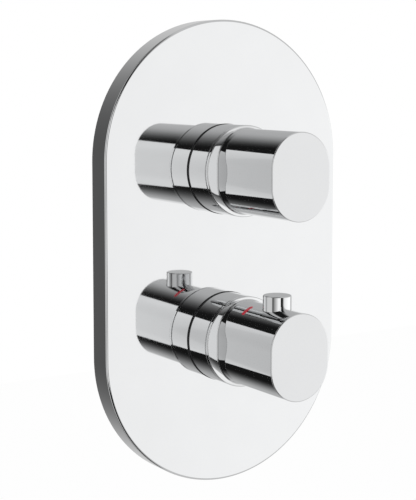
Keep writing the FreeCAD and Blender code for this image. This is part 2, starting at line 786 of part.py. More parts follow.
def make_button_spring():
    """Return spring round the stem, between the button and the floor of its way."""
    at = ("0", f"-{BUTTON_AT}", f"{LOWER} + button_floor")
    part_of_valve(coil("button_spring", "(stem_radius + button_radius) / 2", "button_wire",
                       "button_underside - button_floor", 2, at, "up"))


# ---------------------------------------------------------------- stop rings
def make_stop_ring(name, level, low_turn, high_turn):
    """Ring on the cartridge neck, with a lug just past each end of the knob's turn."""
    at = ("0", f"-{STOP_BACK}", level)
    reach = "(rib_angle / 2 + stop_lug_angle / 2 + stop_spare_angle)"
    ring = rod(f"{name}_stop_disc", "stop_radius", "stop_length", at, "out")
    low = sector(f"{name}_low_lug", "stop_lug_radius", "stop_lug_angle", "stop_length", at,
                 f"270 - ({low_turn}) - {reach}")
    high = sector(f"{name}_high_lug", "stop_lug_radius", "stop_lug_angle", "stop_length", at,
                  f"270 + ({high_turn}) + {reach}")
    bore = rod(f"{name}_stop_bore", "neck_radius + fit", "3 * stop_length",
               ("0", f"-({STOP_BACK} - stop_length)", level), "out")
    part_of_valve(cut(f"{name}_stop_ring", fuse(f"{name}_stop_blank", ring, low, high), bore))


# ---------------------------------------------------------------- adapters
SCREW_SEAT = "(socket_depth + adapter_web)"
ADAPTER_LENGTH = f"({HUB_FRONT} - {ADAPTER_BACK} - gap)"


def make_adapter(name, level):
    """Brass adapter: a socket over the spindle, a shaft, and a plug in the hub of the knob."""
    plug = "hub_radius - fit"
    plug_back = f"{HUB_BACK} - {ADAPTER_BACK} + gap"
    profile = [("spline_radius + fit", "0"), ("socket_radius", "0"), ("socket_radius", "socket_length"),
               ("adapter_shaft", "socket_length"), ("adapter_shaft", plug_back), (plug, plug_back),
               (plug, ADAPTER_LENGTH), ("screw_head_radius + gap", ADAPTER_LENGTH),
               ("screw_head_radius + gap", SCREW_SEAT), ("screw_radius + gap", SCREW_SEAT),
               ("screw_radius + gap", "socket_depth"), ("spline_radius + fit", "socket_depth")]
    part_of_valve(turned(f"{name}_adapter", profile, ("0", f"-{ADAPTER_BACK}", level)))


def make_adapter_screw(name, level):
    """Socket screw that draws the adapter on to the end of the spindle."""
    seat = f"({ADAPTER_BACK} + {SCREW_SEAT})"
    profile = [("0", "-screw_length"), ("screw_radius", "-screw_length"), ("screw_radius", "0"),
               ("screw_head_radius", "0"), ("screw_head_radius", "screw_head"), ("0", "screw_head")]
    blank = turned(f"{name}_adapter_screw_blank", profile, ("0", f"-{seat}", level))
    socket = hexagon(f"{name}_adapter_screw_socket", "hex_socket", "2 * hex_depth",
                     ("0", f"-({seat} + screw_head - hex_depth)", level), "out")
    part_of_valve(cut(f"{name}_adapter_screw", blank, socket))


# ---------------------------------------------------------------- collars
def make_collar(name, level):
    """Threaded brass collar: it holds the cartridge in the body and carries the sleeve."""
    length = f"({COLLAR_FRONT} + collar_sink)"
    ring = tube(f"{name}_collar_ring", "collar_inner", "collar_radius", length, ("0", "collar_sink", level))
    slots = []
    for direction, size, corner in (
            ("flat", ("3 * collar_radius", "2 * spanner_slot_depth", "spanner_slot"),
             ("-1.5 * collar_radius", f"-{COLLAR_FRONT} - spanner_slot_depth",
              f"{level} - spanner_slot / 2")),
            ("upright", ("spanner_slot", "2 * spanner_slot_depth", "3 * collar_radius"),
             ("-spanner_slot / 2", f"-{COLLAR_FRONT} - spanner_slot_depth",
              f"{level} - 1.5 * collar_radius"))):
        slots.append(block(f"{name}_slot_{direction}", size, corner))
    part_of_valve(cut(f"{name}_collar", ring, *slots))


# ---------------------------------------------------------------- brass body
def side_rod(name, side, radius, outer, length, depth, level):
    """Round bar that runs inwards from one side of the body."""
    start, facing = (f"-({outer})", "right") if side == "left" else (outer, "left")
    return rod(name, radius, length, (start, depth, level), facing)


def make_valve_body():
    """Brass casting: two barrels, a screw flange, four ports and the gallery between them."""
    flange_block = block("flange_block", ("flange_width", "flange_thickness", "flange_height"),
                         ("-flange_width / 2", "0", "-flange_height / 2"))
    flange = rounded("flange", flange_block, "flange_corner",
                     lambda edge: edge.BoundBox.YLength > value("flange_thickness") * 0.99)
    solids = [flange]
    for name, level in (("upper", UPPER), ("lower", LOWER)):
        solids.append(rod(f"{name}_barrel", "barrel_radius", "boss_rise + barrel_depth",
                          ("0", "-boss_rise", level), "in"))
    for side in ("left", "right"):
        solids.append(side_rod(f"{side}_inlet_boss", side, "port_boss_radius", "inlet_reach", "inlet_reach",
                               "inlet_depth", LOWER))
        solids.append(side_rod(f"{side}_outlet_boss", side, "port_boss_radius", "outlet_reach",
                               "outlet_reach", "outlet_depth", UPPER))
    ridge_foot = f"({LOWER} - gallery_overrun)"
    ridge_height = "(control_spacing + gallery_overrun + gallery_top)"
    solids.append(rod("gallery_ridge", "gallery_ridge", ridge_height,
                      ("0", "gallery_depth", ridge_foot), "up"))
    solids.append(block("gallery_web", ("2 * gallery_ridge", "gallery_depth - flange_thickness / 2",
                                        ridge_height),
                        ("-gallery_ridge", "flange_thickness / 2", ridge_foot)))
    casting = fuse("casting", *solids)

    ways = []
    for name, level, centre in (("upper", UPPER, "disc_centre_radius"), ("lower", LOWER, "hot_seat_cage")):
        ways.append(rod(f"{name}_bore", "bore_radius", "boss_rise + bore_depth",
                        ("0", "-boss_rise", level), "in"))
        ways.append(rod(f"{name}_collar_way", "collar_radius + fit", "boss_rise + collar_sink",
                        ("0", "-boss_rise", level), "in"))
        ways.append(rod(f"{name}_centre_way", centre, "gallery_depth - bore_depth",
                        ("0", "bore_depth", level), "in"))
    for side, sign in (("left", "-1 *"), ("right", "1 *")):
        ways.append(side_rod(f"{side}_inlet_thread", side, "thread_radius", "inlet_reach", "thread_length",
                             "inlet_depth", LOWER))
        ways.append(side_rod(f"{side}_check_bore", side, "check_bore_radius", "inlet_reach",
                             "thread_length + check_bore_length", "inlet_depth", LOWER))
        depth = "inlet_depth + passage_shift" if side == "left" else "inlet_depth - passage_shift"
        ways.append(side_rod(f"{side}_inlet_passage", side, "passage_radius",
                             "inlet_reach - thread_length - check_bore_length / 2", "check_bore_length",
                             depth, LOWER))
        ways.append(side_rod(f"{side}_outlet_thread", side, "thread_radius", "outlet_reach",
                             "thread_length", "outlet_depth", UPPER))
        ways.append(side_rod(f"{side}_outlet_passage", side, "outlet_passage_radius", "outlet_reach",
                             "outlet_reach - disc_port_pitch", "outlet_passage_depth", UPPER))
        ways.append(rod(f"{side}_outlet_drop", "disc_port_radius", "outlet_passage_depth - bore_depth",
                        (f"{sign} disc_port_pitch", "bore_depth", UPPER), "in"))
        for end, rise in (("top", ""), ("foot", "-")):
            ways.append(rod(f"body_screw_way_{side}_{end}", "body_screw_radius + fit", "2 * flange_thickness",
                            (f"{sign} body_screw_width / 2", "-flange_thickness / 2",
                             f"{rise}body_screw_height / 2"), "in"))
    ways.append(rod("gallery", "gallery_radius", "control_spacing + gallery_overrun",
                    ("0", "gallery_depth", ridge_foot), "up"))
    ways.append(rod("gallery_plug_way", "plug_radius + fit", "plug_length",
                    ("0", "gallery_depth", ridge_foot), "up"))
    part_of_valve(cut("valve_body", casting, *ways))


def make_gallery_plug():
    """Plug that closes the drilled end of the gallery."""
    foot = f"({LOWER} - gallery_overrun)"
    blank = rod("plug_blank", "plug_radius", "plug_length", ("0", "gallery_depth", foot), "up")
    socket = hexagon("plug_socket", "2 * hex_socket", "plug_length / 2",
                     ("0", "gallery_depth", f"{foot} - gap"), "up")
    part_of_valve(cut("gallery_plug", blank, socket))


# ---------------------------------------------------------------- cartridges
def neck_profile(back, inside):
    """Outside of a cartridge housing from its back to its neck, then the given inside corners."""
    shoulder = f"{back} - collar_sink"
    return [("housing_radius", "0"), ("housing_radius", shoulder), ("neck_radius", shoulder),
            ("neck_radius", f"{back} + neck_reach"), ("spindle_radius + fit", f"{back} + neck_reach"),
            *inside]


DISC_FLOOR = "(bore_depth - base_seal - base_thickness)"
DRIVER_BACK = f"({DISC_FLOOR} - 2 * disc_thickness)"


def three_ways(name, radius_gain, depth, length):
    """Centre way and two side ways of the diverter, as round cutters running in from a depth."""
    cutters = [rod(f"{name}_centre", f"disc_centre_radius + {radius_gain}", length,
                   ("0", depth, UPPER), "in")]
    for side, sign in (("left", "-1 *"), ("right", "1 *")):
        cutters.append(rod(f"{name}_{side}", f"disc_port_radius + {radius_gain}", length,
                           (f"{sign} disc_port_pitch", depth, UPPER), "in"))
    return cutters


def make_flow_cartridge():
    """Ceramic-disc diverter with a shut-off in the middle of its turn."""
    back = "bore_depth - base_seal"
    chamber_front = f"{back} - {DRIVER_BACK} + driver_thickness + gap"
    inside = [("spindle_radius + fit", chamber_front), ("disc_chamber_radius", chamber_front),
              ("disc_chamber_radius", "0")]
    at = ("0", back, UPPER)
    blank = turned("flow_housing_blank", neck_profile(back, inside), at)
    groove = tube("flow_groove", "ring_groove_radius", "housing_radius + 1", "ring_groove",
                  ("0", "bore_depth / 2 + ring_groove / 2", UPPER))
    part_of_valve(cut("flow_housing", blank, groove))
    part_of_valve(o_ring("flow_o_ring", "bore_radius - ring_section - fit / 2", "ring_section",
                         ("0", "bore_depth / 2", UPPER)))

    base = rod("flow_base_blank", "disc_chamber_radius - fit", "base_thickness",
               ("0", f"{DISC_FLOOR}", UPPER), "in")
    base_ways = three_ways("base_way", "base_way_gain", f"{DISC_FLOOR} - 1", "bore_depth")
    part_of_valve(cut("flow_base", base, *base_ways))
    seal = rod("disc_seal_blank", "disc_radius", "base_seal", ("0", back, UPPER), "in")
    seal_ways = three_ways("seal_way", "seal_way_gain", f"{back} - 1", "2 * base_seal")
    part_of_valve(cut("disc_seal", seal, *seal_ways))

    fixed = rod("fixed_disc_blank", "disc_radius", "disc_thickness",
                ("0", f"{DISC_FLOOR} - disc_thickness", UPPER), "in")
    part_of_valve(cut("fixed_disc", fixed, *three_ways("disc_way", "0", f"{DRIVER_BACK}", "bore_depth")))

    moving = rod("moving_disc_blank", "disc_radius", "disc_thickness - disc_film",
                 ("0", f"{DRIVER_BACK}", UPPER), "in")
    face = f"({DISC_FLOOR} - disc_thickness - disc_film)"
    slot_start = f"{face} - disc_slot_depth"
    slot = [rod("slot_centre", "disc_centre_radius", "disc_thickness", ("0", slot_start, UPPER), "in"),
            rod("slot_end", "disc_port_radius", "disc_thickness",
                ("0", slot_start, f"{UPPER} + disc_port_pitch"), "in"),
            block("slot_run", ("2 * disc_port_radius", "disc_thickness", "disc_port_pitch"),
                  ("-disc_port_radius", slot_start, UPPER))]
    part_of_valve(cut("moving_disc", moving, *slot))
    part_of_valve(turned("flow_spindle", spindle_profile(DRIVER_BACK, "driver_radius", "driver_thickness"),
                         ("0", DRIVER_BACK, UPPER)))


def spindle_profile(back, flange, thickness):
    """Spindle with a rear flange, a shank through the neck and a splined end with a tapped hole."""
    neck_end = f"{back} + neck_reach"
    end = f"{back} + {ADAPTER_BACK} + socket_depth - gap"
    screw_tip = f"{back} + {ADAPTER_BACK} + {SCREW_SEAT} - screw_length - gap"
    return [("0", "0"), (flange, "0"), (flange, thickness), ("spindle_radius", thickness),
            ("spindle_radius", neck_end), ("spline_radius", neck_end), ("spline_radius", end),
            ("screw_radius + fit", end), ("screw_radius + fit", screw_tip), ("0", screw_tip)]


# Stations inside the thermostatic cartridge, as depths behind the wall.
COLD_SEAT_BACK = "(nut_chamber_back + seat_thickness)"
SHUTTLE_FRONT = f"({COLD_SEAT_BACK} + cold_gap)"
SHUTTLE_BACK = f"({SHUTTLE_FRONT} + shuttle_length)"
HOT_SEAT_FRONT = f"({SHUTTLE_BACK} + hot_gap)"
WEB_FRONT = f"({SHUTTLE_FRONT} + shuttle_length / 2 - shuttle_web / 2)"
NUT_BACK = "(nut_front + nut_length)"
COLD_WAY = "(inlet_depth - passage_shift)"
HOT_WAY = "(inlet_depth + passage_shift)"
SPINDLE_BACK = "(nut_chamber_front - gap)"


def make_thermo_housing():
    """Cartridge housing with a hexagonal nut chamber, a shuttle bore and two water annuli."""
    inside = [("spindle_radius + fit", "bore_depth"), ("spindle_flange + gap", "bore_depth"),
              ("spindle_flange + gap", "bore_depth - nut_chamber_back"),
              ("shuttle_bore", "bore_depth - nut_chamber_back"), ("shuttle_bore", "0")]
    blank = turned("thermo_housing_blank", neck_profile("bore_depth", inside), ("0", "bore_depth", LOWER))
    tools = [hexagon("nut_chamber", "nut_flat + nut_gap", "nut_chamber_back - nut_chamber_front",
                     ("0", "nut_chamber_front", LOWER), "in")]
    for name, depth in (("cold", COLD_WAY), ("hot", HOT_WAY)):
        tools.append(tube(f"{name}_annulus", "annulus_radius", "housing_radius + 1", "annulus_length",
                          ("0", f"{depth} + annulus_length / 2", LOWER)))
        for facing, across, level in (("right", "-1.5 * housing_radius", LOWER),
                                      ("up", "0", f"{LOWER} - 1.5 * housing_radius")):
            tools.append(rod(f"{name}_windows_{facing}", "window_radius", "3 * housing_radius",
                             (across, depth, level), facing))
    for name, depth in ring_depths():
        tools.append(tube(f"thermo_groove_{name}", "ring_groove_radius", "housing_radius + 1", "ring_groove",
                          ("0", f"{depth} + ring_groove / 2", LOWER)))
    part_of_valve(cut("thermo_housing", blank, *tools))


def ring_depths():
    """Middle depths of the three sealing rings: before, between and behind the two annuli."""
    step = "(annulus_length / 2 + ring_groove / 2 + gap)"
    return (("front", f"({COLD_WAY} - {step})"), ("middle", "inlet_depth"), ("back", f"({HOT_WAY} + {step})"))


def make_thermo_rings():
    rings = [o_ring(f"thermo_ring_{name}", "bore_radius - ring_section - fit / 2", "ring_section",
                    ("0", depth, LOWER)) for name, depth in ring_depths()]
    part_of_valve(group("thermo_o_rings", rings))


def make_thermo_spindle():
    """Spindle with a threaded stud at the back that moves the regulating nut."""
    shank = turned("thermo_spindle_shank",
                   spindle_profile(SPINDLE_BACK, "spindle_flange", "spindle_flange_thickness"),
                   ("0", SPINDLE_BACK, LOWER))
    stud = rod("thermo_stud", "stud_radius", "stud_length", ("0", SPINDLE_BACK, LOWER), "in")
    part_of_valve(fuse("thermo_spindle", shank, stud))


def make_regulating_nut():
    """Hexagonal nut that slides without turning and holds the overload spring."""
    blank = hexagon("nut_blank", "nut_flat", "nut_length", ("0", "nut_front", LOWER), "in")
    thread = rod("nut_thread", "stud_radius + fit", "nut_length", ("0", "nut_front - 1", LOWER), "in")
    cavity = rod("nut_cavity_way", "nut_cavity", "nut_length", ("0", "nut_front + nut_wall", LOWER), "in")
    part_of_valve(cut("regulating_nut", blank, thread, cavity))
    at = ("0", NUT_BACK, LOWER)
    part_of_valve(tube("nut_clip", "nut_cavity - 1", "nut_cavity - fit / 2", "clip_thickness", at))
    plunger_front = f"{NUT_BACK} - clip_thickness - plunger_thickness"
    part_of_valve(rod("overload_plunger", "plunger_radius", "plunger_thickness",
                      ("0", plunger_front, LOWER), "in"))
    spring_front = "(nut_front + nut_wall)"
    part_of_valve(coil("overload_spring", "(stud_radius + nut_cavity) / 2 + gap / 2", "overload_wire",
                       f"{plunger_front} - {spring_front}", 3, ("0", spring_front, LOWER), "in"))


def make_cold_seat():
    """Disc across the shuttle bore: the cold seat, with a guide hole for the element's pin."""
    part_of_valve(tube("cold_seat", "element_pin + fit", "shuttle_bore - fit", "seat_thickness",
                       ("0", COLD_SEAT_BACK, LOWER)))


def make_hot_seat():
    """Ring that closes the shuttle bore: the hot seat, and the cage of the return spring."""
    length = f"(bore_depth - {HOT_SEAT_FRONT})"
    profile = [("hot_seat_cage", "0"), ("shuttle_bore - fit", "0"), ("shuttle_bore - fit", length),
               ("hot_seat_inner", length), ("hot_seat_inner", "hot_seat_floor"),
               ("hot_seat_cage", "hot_seat_floor")]
    part_of_valve(turned("hot_seat", profile, ("0", "bore_depth", LOWER)))


def make_mixing_shuttle():
    """Sliding sleeve between the two seats, carried by a spoked web on the wax element."""
    band = "(shuttle_length / 2 - shuttle_band_length / 2)"
    outside = [("shuttle_inner", "0"), ("shuttle_end", "0"), ("shuttle_end", band), ("shuttle_band", band),
               ("shuttle_band", f"{band} + shuttle_band_length"),
               ("shuttle_end", f"{band} + shuttle_band_length"), ("shuttle_end", "shuttle_length"),
               ("shuttle_inner", "shuttle_length")]
    sleeve = turned("shuttle_sleeve", outside, ("0", SHUTTLE_FRONT, LOWER), "in")
    web = tube("shuttle_web_disc", "element_radius + fit / 2", "shuttle_inner + easy_fit", "shuttle_web",
               ("0", WEB_FRONT, LOWER), "in")
    ring = "((element_radius + shuttle_inner) / 2 + gap)"
    holes = []
    for number in range(6):
        turn = 60 * number
        holes.append(rod(f"web_hole_{number}", "web_hole", "3 * shuttle_web",
                         (f"{ring} * cos({turn})", f"{WEB_FRONT} - shuttle_web",
                          f"{LOWER} + {ring} * sin({turn})"), "in"))
    part_of_valve(cut("mixing_shuttle", fuse("shuttle_blank", sleeve, web), *holes))


def make_wax_element():
    """Wax capsule: its pin bears on the plunger and its bulb lies in the mixed water."""
    pin_length = f"({WEB_FRONT} - shuttle_web - ({NUT_BACK} - clip_thickness))"
    bulb_end = f"(bore_depth - gap - ({NUT_BACK} - clip_thickness))"
    profile = [("0", "0"), ("element_pin", "0"), ("element_pin", pin_length),
               ("element_collar", pin_length), ("element_collar", f"{pin_length} + shuttle_web"),
               ("element_radius", f"{pin_length} + shuttle_web"), ("element_radius", bulb_end),
               ("0", bulb_end)]
    part_of_valve(turned("wax_element", profile, ("0", f"{NUT_BACK} - clip_thickness", LOWER), "in"))


def make_return_spring():
    """Spring that holds the shuttle and the element against the plunger."""
    front = f"({WEB_FRONT} + shuttle_web)"
    back = "(bore_depth - hot_seat_floor)"
    part_of_valve(coil("return_spring", "hot_seat_inner - 2 * return_wire", "return_wire",
                       f"{back} - {front}", 4, ("0", front, LOWER), "in"))


# ---------------------------------------------------------------- check valves and strainers
CHECK_OUTER = "(inlet_reach - thread_length - strainer_thickness)"


def make_check_valve(name, side):
    """Inlet check valve with its strainer; profiles run inwards from the outer end."""
    facing, sign = ("right", "-1 *") if side == "left" else ("left", "1 *")
    at = (f"{sign} {CHECK_OUTER}", "inlet_depth", LOWER)
    guide = "(check_length - check_guide)"
    profile = [("seat_hole", "0"), ("check_radius", "0"), ("check_radius", "check_length"),
               ("poppet_stem + easy_fit", "check_length"), ("poppet_stem + easy_fit", guide),
               ("check_chamber", guide), ("check_chamber", "check_seat"), ("seat_hole", "check_seat")]
    blank = turned(f"{name}_check_blank", profile, at, facing)
    ways = []
    for number in range(6):
        turn = 60 * number
        ways.append(rod(f"{name}_guide_way_{number}", "poppet_stem", "2 * check_guide",
                        (f"{sign} ({CHECK_OUTER} - {guide} + gap)",
                         f"inlet_depth + (check_chamber - poppet_stem - gap) * cos({turn})",
                         f"{LOWER} + (check_chamber - poppet_stem - gap) * sin({turn})"), facing))
    part_of_valve(cut(f"{name}_check_housing", blank, *ways))

    head = "(check_seat + fit)"
    stem_end = "(check_length - poppet_travel + fit)"
    profile = [("0", head), ("poppet_radius", head), ("poppet_radius", f"{head} + poppet_head"),
               ("poppet_stem", f"{head} + poppet_head"), ("poppet_stem", stem_end), ("0", stem_end)]
    part_of_valve(turned(f"{name}_poppet", profile, at, facing))
    spring_at = (f"{sign} ({CHECK_OUTER} - {head} - poppet_head)", "inlet_depth", LOWER)
    part_of_valve(coil(f"{name}_check_spring", "poppet_stem + 2 * check_wire + gap", "check_wire",
                       f"{guide} - {head} - poppet_head", 3, spring_at, facing))

    disc = side_rod(f"{name}_strainer_disc", side, "check_radius", "inlet_reach - thread_length",
                    "strainer_thickness", "inlet_depth", LOWER)
    holes = []
    for ring, count in ((0, 1), (1, 6), (2, 12)):
        for number in range(count):
            turn = 360 / count * number
            radius = f"{ring} * strainer_pitch"
            holes.append(side_rod(f"{name}_mesh_{ring}_{number}", side, "strainer_hole",
                                  "inlet_reach - thread_length + 1", "strainer_thickness + 2",
                                  f"inlet_depth + {radius} * cos({turn})",
                                  f"{LOWER} + {radius} * sin({turn})"))
    part_of_valve(cut(f"{name}_strainer", disc, *holes))


# ---------------------------------------------------------------- build, check and write
make_face_plate()
make_plate_gasket()
make_wall_bracket()
make_body_screws()
make_valve_body()
make_gallery_plug()
for control, height in (("upper", UPPER), ("lower", LOWER)):
    make_seal_ring(control, height)
    make_sleeve(control, height)
    make_collar(control, height)
    make_adapter(control, height)
    make_adapter_screw(control, height)
    make_grub_screw(control, height)
make_upper_knob()
make_lower_knob()
make_heat_mark()
make_safety_button()
make_button_clip()
make_button_spring()
make_stop_ring("upper", UPPER, "diverter_turn", "diverter_turn")
make_stop_ring("lower", LOWER, "cold_turn", "hot_turn")
make_flow_cartridge()
make_thermo_housing()
make_thermo_rings()
make_thermo_spindle()
make_regulating_nut()
make_cold_seat()
make_mixing_shuttle()
make_wax_element()
make_hot_seat()
make_return_spring()
make_check_valve("hot", "left")
make_check_valve("cold", "right")

doc.recompute()
for thing in doc.Objects:
    if "Invalid" in thing.State or "Error" in thing.State:
        raise RuntimeError(f"{thing.Label} is {thing.State}")
for node in nodes:
    if node.Shape.isNull() or not node.Shape.isValid() or not node.Shape.Solids:
        raise RuntimeError(f"{node.Label} has no valid solid")

os.makedirs("parts", exist_ok=True)
for node in nodes:
    node.Shape.exportStep(f"parts/{node.Label}.step")
    print(node.Label, len(node.Shape.Solids), round(node.Shape.Volume, 2))
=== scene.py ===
"""Looks of a concealed thermostatic shower valve: chrome cover and controls, brass body behind.

Metres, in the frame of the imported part: the front of the valve faces -Y, +Z is up, and the
origin lies on the finished wall midway between the two controls.
"""

import json
import math

import bpy
from mathutils import Matrix, Vector


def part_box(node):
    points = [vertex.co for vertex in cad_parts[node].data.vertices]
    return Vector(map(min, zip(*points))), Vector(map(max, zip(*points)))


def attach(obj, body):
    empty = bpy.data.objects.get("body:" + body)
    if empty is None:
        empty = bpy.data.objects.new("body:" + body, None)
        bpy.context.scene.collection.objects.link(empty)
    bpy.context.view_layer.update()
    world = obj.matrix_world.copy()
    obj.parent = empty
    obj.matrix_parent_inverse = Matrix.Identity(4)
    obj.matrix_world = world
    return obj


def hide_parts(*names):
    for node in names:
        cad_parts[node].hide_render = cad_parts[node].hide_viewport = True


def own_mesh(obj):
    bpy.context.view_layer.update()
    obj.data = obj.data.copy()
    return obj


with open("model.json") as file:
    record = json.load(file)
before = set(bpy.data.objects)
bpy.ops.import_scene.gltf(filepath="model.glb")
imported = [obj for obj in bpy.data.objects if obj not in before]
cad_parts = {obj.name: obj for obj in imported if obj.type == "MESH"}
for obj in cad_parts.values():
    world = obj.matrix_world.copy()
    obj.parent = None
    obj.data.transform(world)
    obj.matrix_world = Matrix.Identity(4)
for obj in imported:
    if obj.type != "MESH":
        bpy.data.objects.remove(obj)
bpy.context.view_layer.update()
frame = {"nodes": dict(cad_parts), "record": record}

MM = 0.001
WELD_GAP = 0.001 * MM
FORWARD = Vector((0, -1, 0))
INWARDS = Vector((0, 1, 0))

# ---------------------------------------------------------------- places read from the frame
plate_low, plate_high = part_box("face_plate")
PLATE_FRONT, PLATE_HALF_WIDTH, PLATE_HALF_HEIGHT = plate_low.y, plate_high.x, plate_high.z
sleeve_low, sleeve_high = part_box("upper_sleeve")
SLEEVE_FRONT, SLEEVE_BACK, SLEEVE_RADIUS = sleeve_low.y, sleeve_high.y, sleeve_high.x
seal_low, seal_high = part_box("upper_seal_ring")
SEAL_FRONT, SEAL_BACK, SEAL_RADIUS = seal_low.y, seal_high.y, seal_high.x
knob_low, knob_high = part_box("upper_knob")
KNOB_FRONT, KNOB_BACK, LIP_RADIUS = knob_low.y, knob_high.y, knob_high.x
button_low, button_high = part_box("safety_button")
BUTTON_AT, BUTTON_RADIUS = (button_low.y + button_high.y) / 2, button_high.x
mark_low, mark_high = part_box("heat_mark")
MARK_AT, MARK_HALF_WIDTH = (mark_low.y + mark_high.y) / 2, (mark_high.y - mark_low.y) / 2
body_low, body_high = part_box("valve_body")
BODY_FRONT, BODY_BACK, FLANGE_HALF_HEIGHT = body_low.y, body_high.y, body_high.z
LEVELS = {}
for control in ("upper", "lower"):
    ring_low, ring_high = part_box(f"{control}_sleeve")
    LEVELS[control] = (ring_low.z + ring_high.z) / 2

# ---------------------------------------------------------------- sizes of the chrome pieces
# SUPPORT is the strip of flat face kept beside a rounded edge, so that the flat mirrors flatly.
SUPPORT = 0.12 * MM
PLATE_WALL = 2.2 * MM
PLATE_EDGE = 0.9 * MM
PLATE_HOLE = 17.6 * MM
# The joint between sleeve and knob: its small edge, and how far the middle of that edge is cut back.
JOINT_EDGE = 0.2 * MM
JOINT_CROWN = 0.06 * MM
SLEEVE_INNER = 17.05 * MM
SLEEVE_MOUTH = 14.0 * MM
SLEEVE_FLANGE = 1.8 * MM
SEAL_INNER = 17.3 * MM
KNOB_HALF_HEIGHT = 19.8 * MM
KNOB_HALF_WIDTH = 15.8 * MM
# Height of the top arc's middle above the axis of the knob.
KNOB_ARC_RISE = KNOB_HALF_HEIGHT - KNOB_HALF_WIDTH
KNOB_EDGE = 0.4 * MM
ROOT_FILLET = 0.5 * MM
LIP_THICKNESS = 1.6 * MM
LIP_EDGE = 0.35 * MM
END_WALL = 4.2 * MM
HUB_RADIUS = 7.5 * MM
HUB_LENGTH = 9.0 * MM
CAVITY_RADIUS = 13.5 * MM
BUTTON_GAP = 0.1 * MM
BUTTON_HEAD = 7.2 * MM
BUTTON_EDGE = 0.45 * MM
BUTTON_FLOOR = 15.0 * MM
STEM_RADIUS = 2.0 * MM
STEM_FOOT = 2.6 * MM
STEM_GROOVE = 1.4 * MM
MARK_TURN = math.radians(30)
MARK_HALF_LENGTH = 3.3 * MM
MARK_DEPTH = 0.5 * MM

# ---------------------------------------------------------------- sizes of the hidden pieces
SCREW_GAP = 0.05 * MM
GASKET_WIDTH = 4.0 * MM
GASKET_EDGE = 0.5 * MM
BRACKET_GAP = 1.5 * MM
BRACKET_EDGE = 0.25 * MM
# Holes in the bracket: half their spacing across, half their spacing up, and their radius.
WALL_FIXING = (28.0 * MM, 82.0 * MM, 2.75 * MM)
BODY_SCREW = (20.0 * MM, 63.0 * MM, 2.75 * MM)
BODY_SCREW_TAPPED = 2.5 * MM
BARREL_RADIUS = 19.5 * MM
BARREL_BACK = 50.0 * MM
COLLAR_WAY = SLEEVE_INNER
COLLAR_WAY_DEPTH = 8.0 * MM
CARTRIDGE_BORE = 15.15 * MM
CARTRIDGE_DEPTH = 44.0 * MM
PORT_WALL = 3.7 * MM
THREAD_PITCH = 1.81 * MM
THREAD_DEPTH = 0.8 * MM
# Corners of one turn of a thread: share of its pitch, share of its depth.
THREAD_TURN = ((0.6, 0), (0.75, 0), (1.1, 1), (1.2, 1))
CHECK_BORE = 7.5 * MM
CHECK_DEPTH = 11.0 * MM
INLET_WAY = 3.0 * MM
INLET_WAY_SHIFT = 5.0 * MM
OUTLET_WAY = 3.5 * MM
OUTLET_WAY_DEPTH = 43.0 * MM
OUTLET_DROP = 2.6 * MM
OUTLET_DROP_AT = 8.5 * MM
OUTLET_DROP_START = 34.4 * MM
CENTRE_WAYS = {"upper": 3.2 * MM, "lower": 5.9 * MM}
GALLERY_RADIUS = 4.0 * MM
GALLERY_DEPTH = 52.0 * MM
RIDGE_RADIUS = BODY_BACK - GALLERY_DEPTH
RIDGE_FOOT = -56.0 * MM
RIDGE_TOP = 48.0 * MM
FLANGE_HALF_WIDTH = 26.0 * MM
FLANGE_THICKNESS = 6.0 * MM
FLANGE_CORNER = 8.0 * MM
# The casting: grain of its skin, metal left on its bosses for facing, and how far past a cutter's
# plane or bore a face still counts as cut.
CAST_GRAIN = 0.9 * MM
FACING_STOCK = 1.5 * MM
FACED_DEPTH = 0.05 * MM
BORED_DEPTH = 0.1 * MM

# How many corners go round a circle, and round the half circle that ends an oblong.
ROUND_WAY = 48
ROUND_BORE = 64
ROUND_MIDDLE = 96
ROUND_LARGE = 128
ROUND_CHROME = 160
ROUND_END = 96


# ---------------------------------------------------------------- shader expressions
class Signal:
    """One output of a node tree; arithmetic on it adds Math nodes."""

    def __init__(self, tree, socket):
        self.tree, self.socket = tree, socket

    def maths(self, operation, *others, clamp=False):
        values = dict(enumerate((self, *others)))
        return self.tree.node("ShaderNodeMath", {"operation": operation, "use_clamp": clamp}, values)

    def __add__(self, other):
        return self.maths("ADD", other)

    __radd__ = __add__

    def __sub__(self, other):
        return self.maths("SUBTRACT", other)

    def __rsub__(self, other):
        return self.tree.number(other).maths("SUBTRACT", self)

    def __mul__(self, other):
        return self.maths("MULTIPLY", other)

    __rmul__ = __mul__

    def __truediv__(self, other):
        return self.maths("DIVIDE", other)

    def __neg__(self):
        return self * -1.0

    def clamped(self):
        return self.maths("ADD", 0.0, clamp=True)


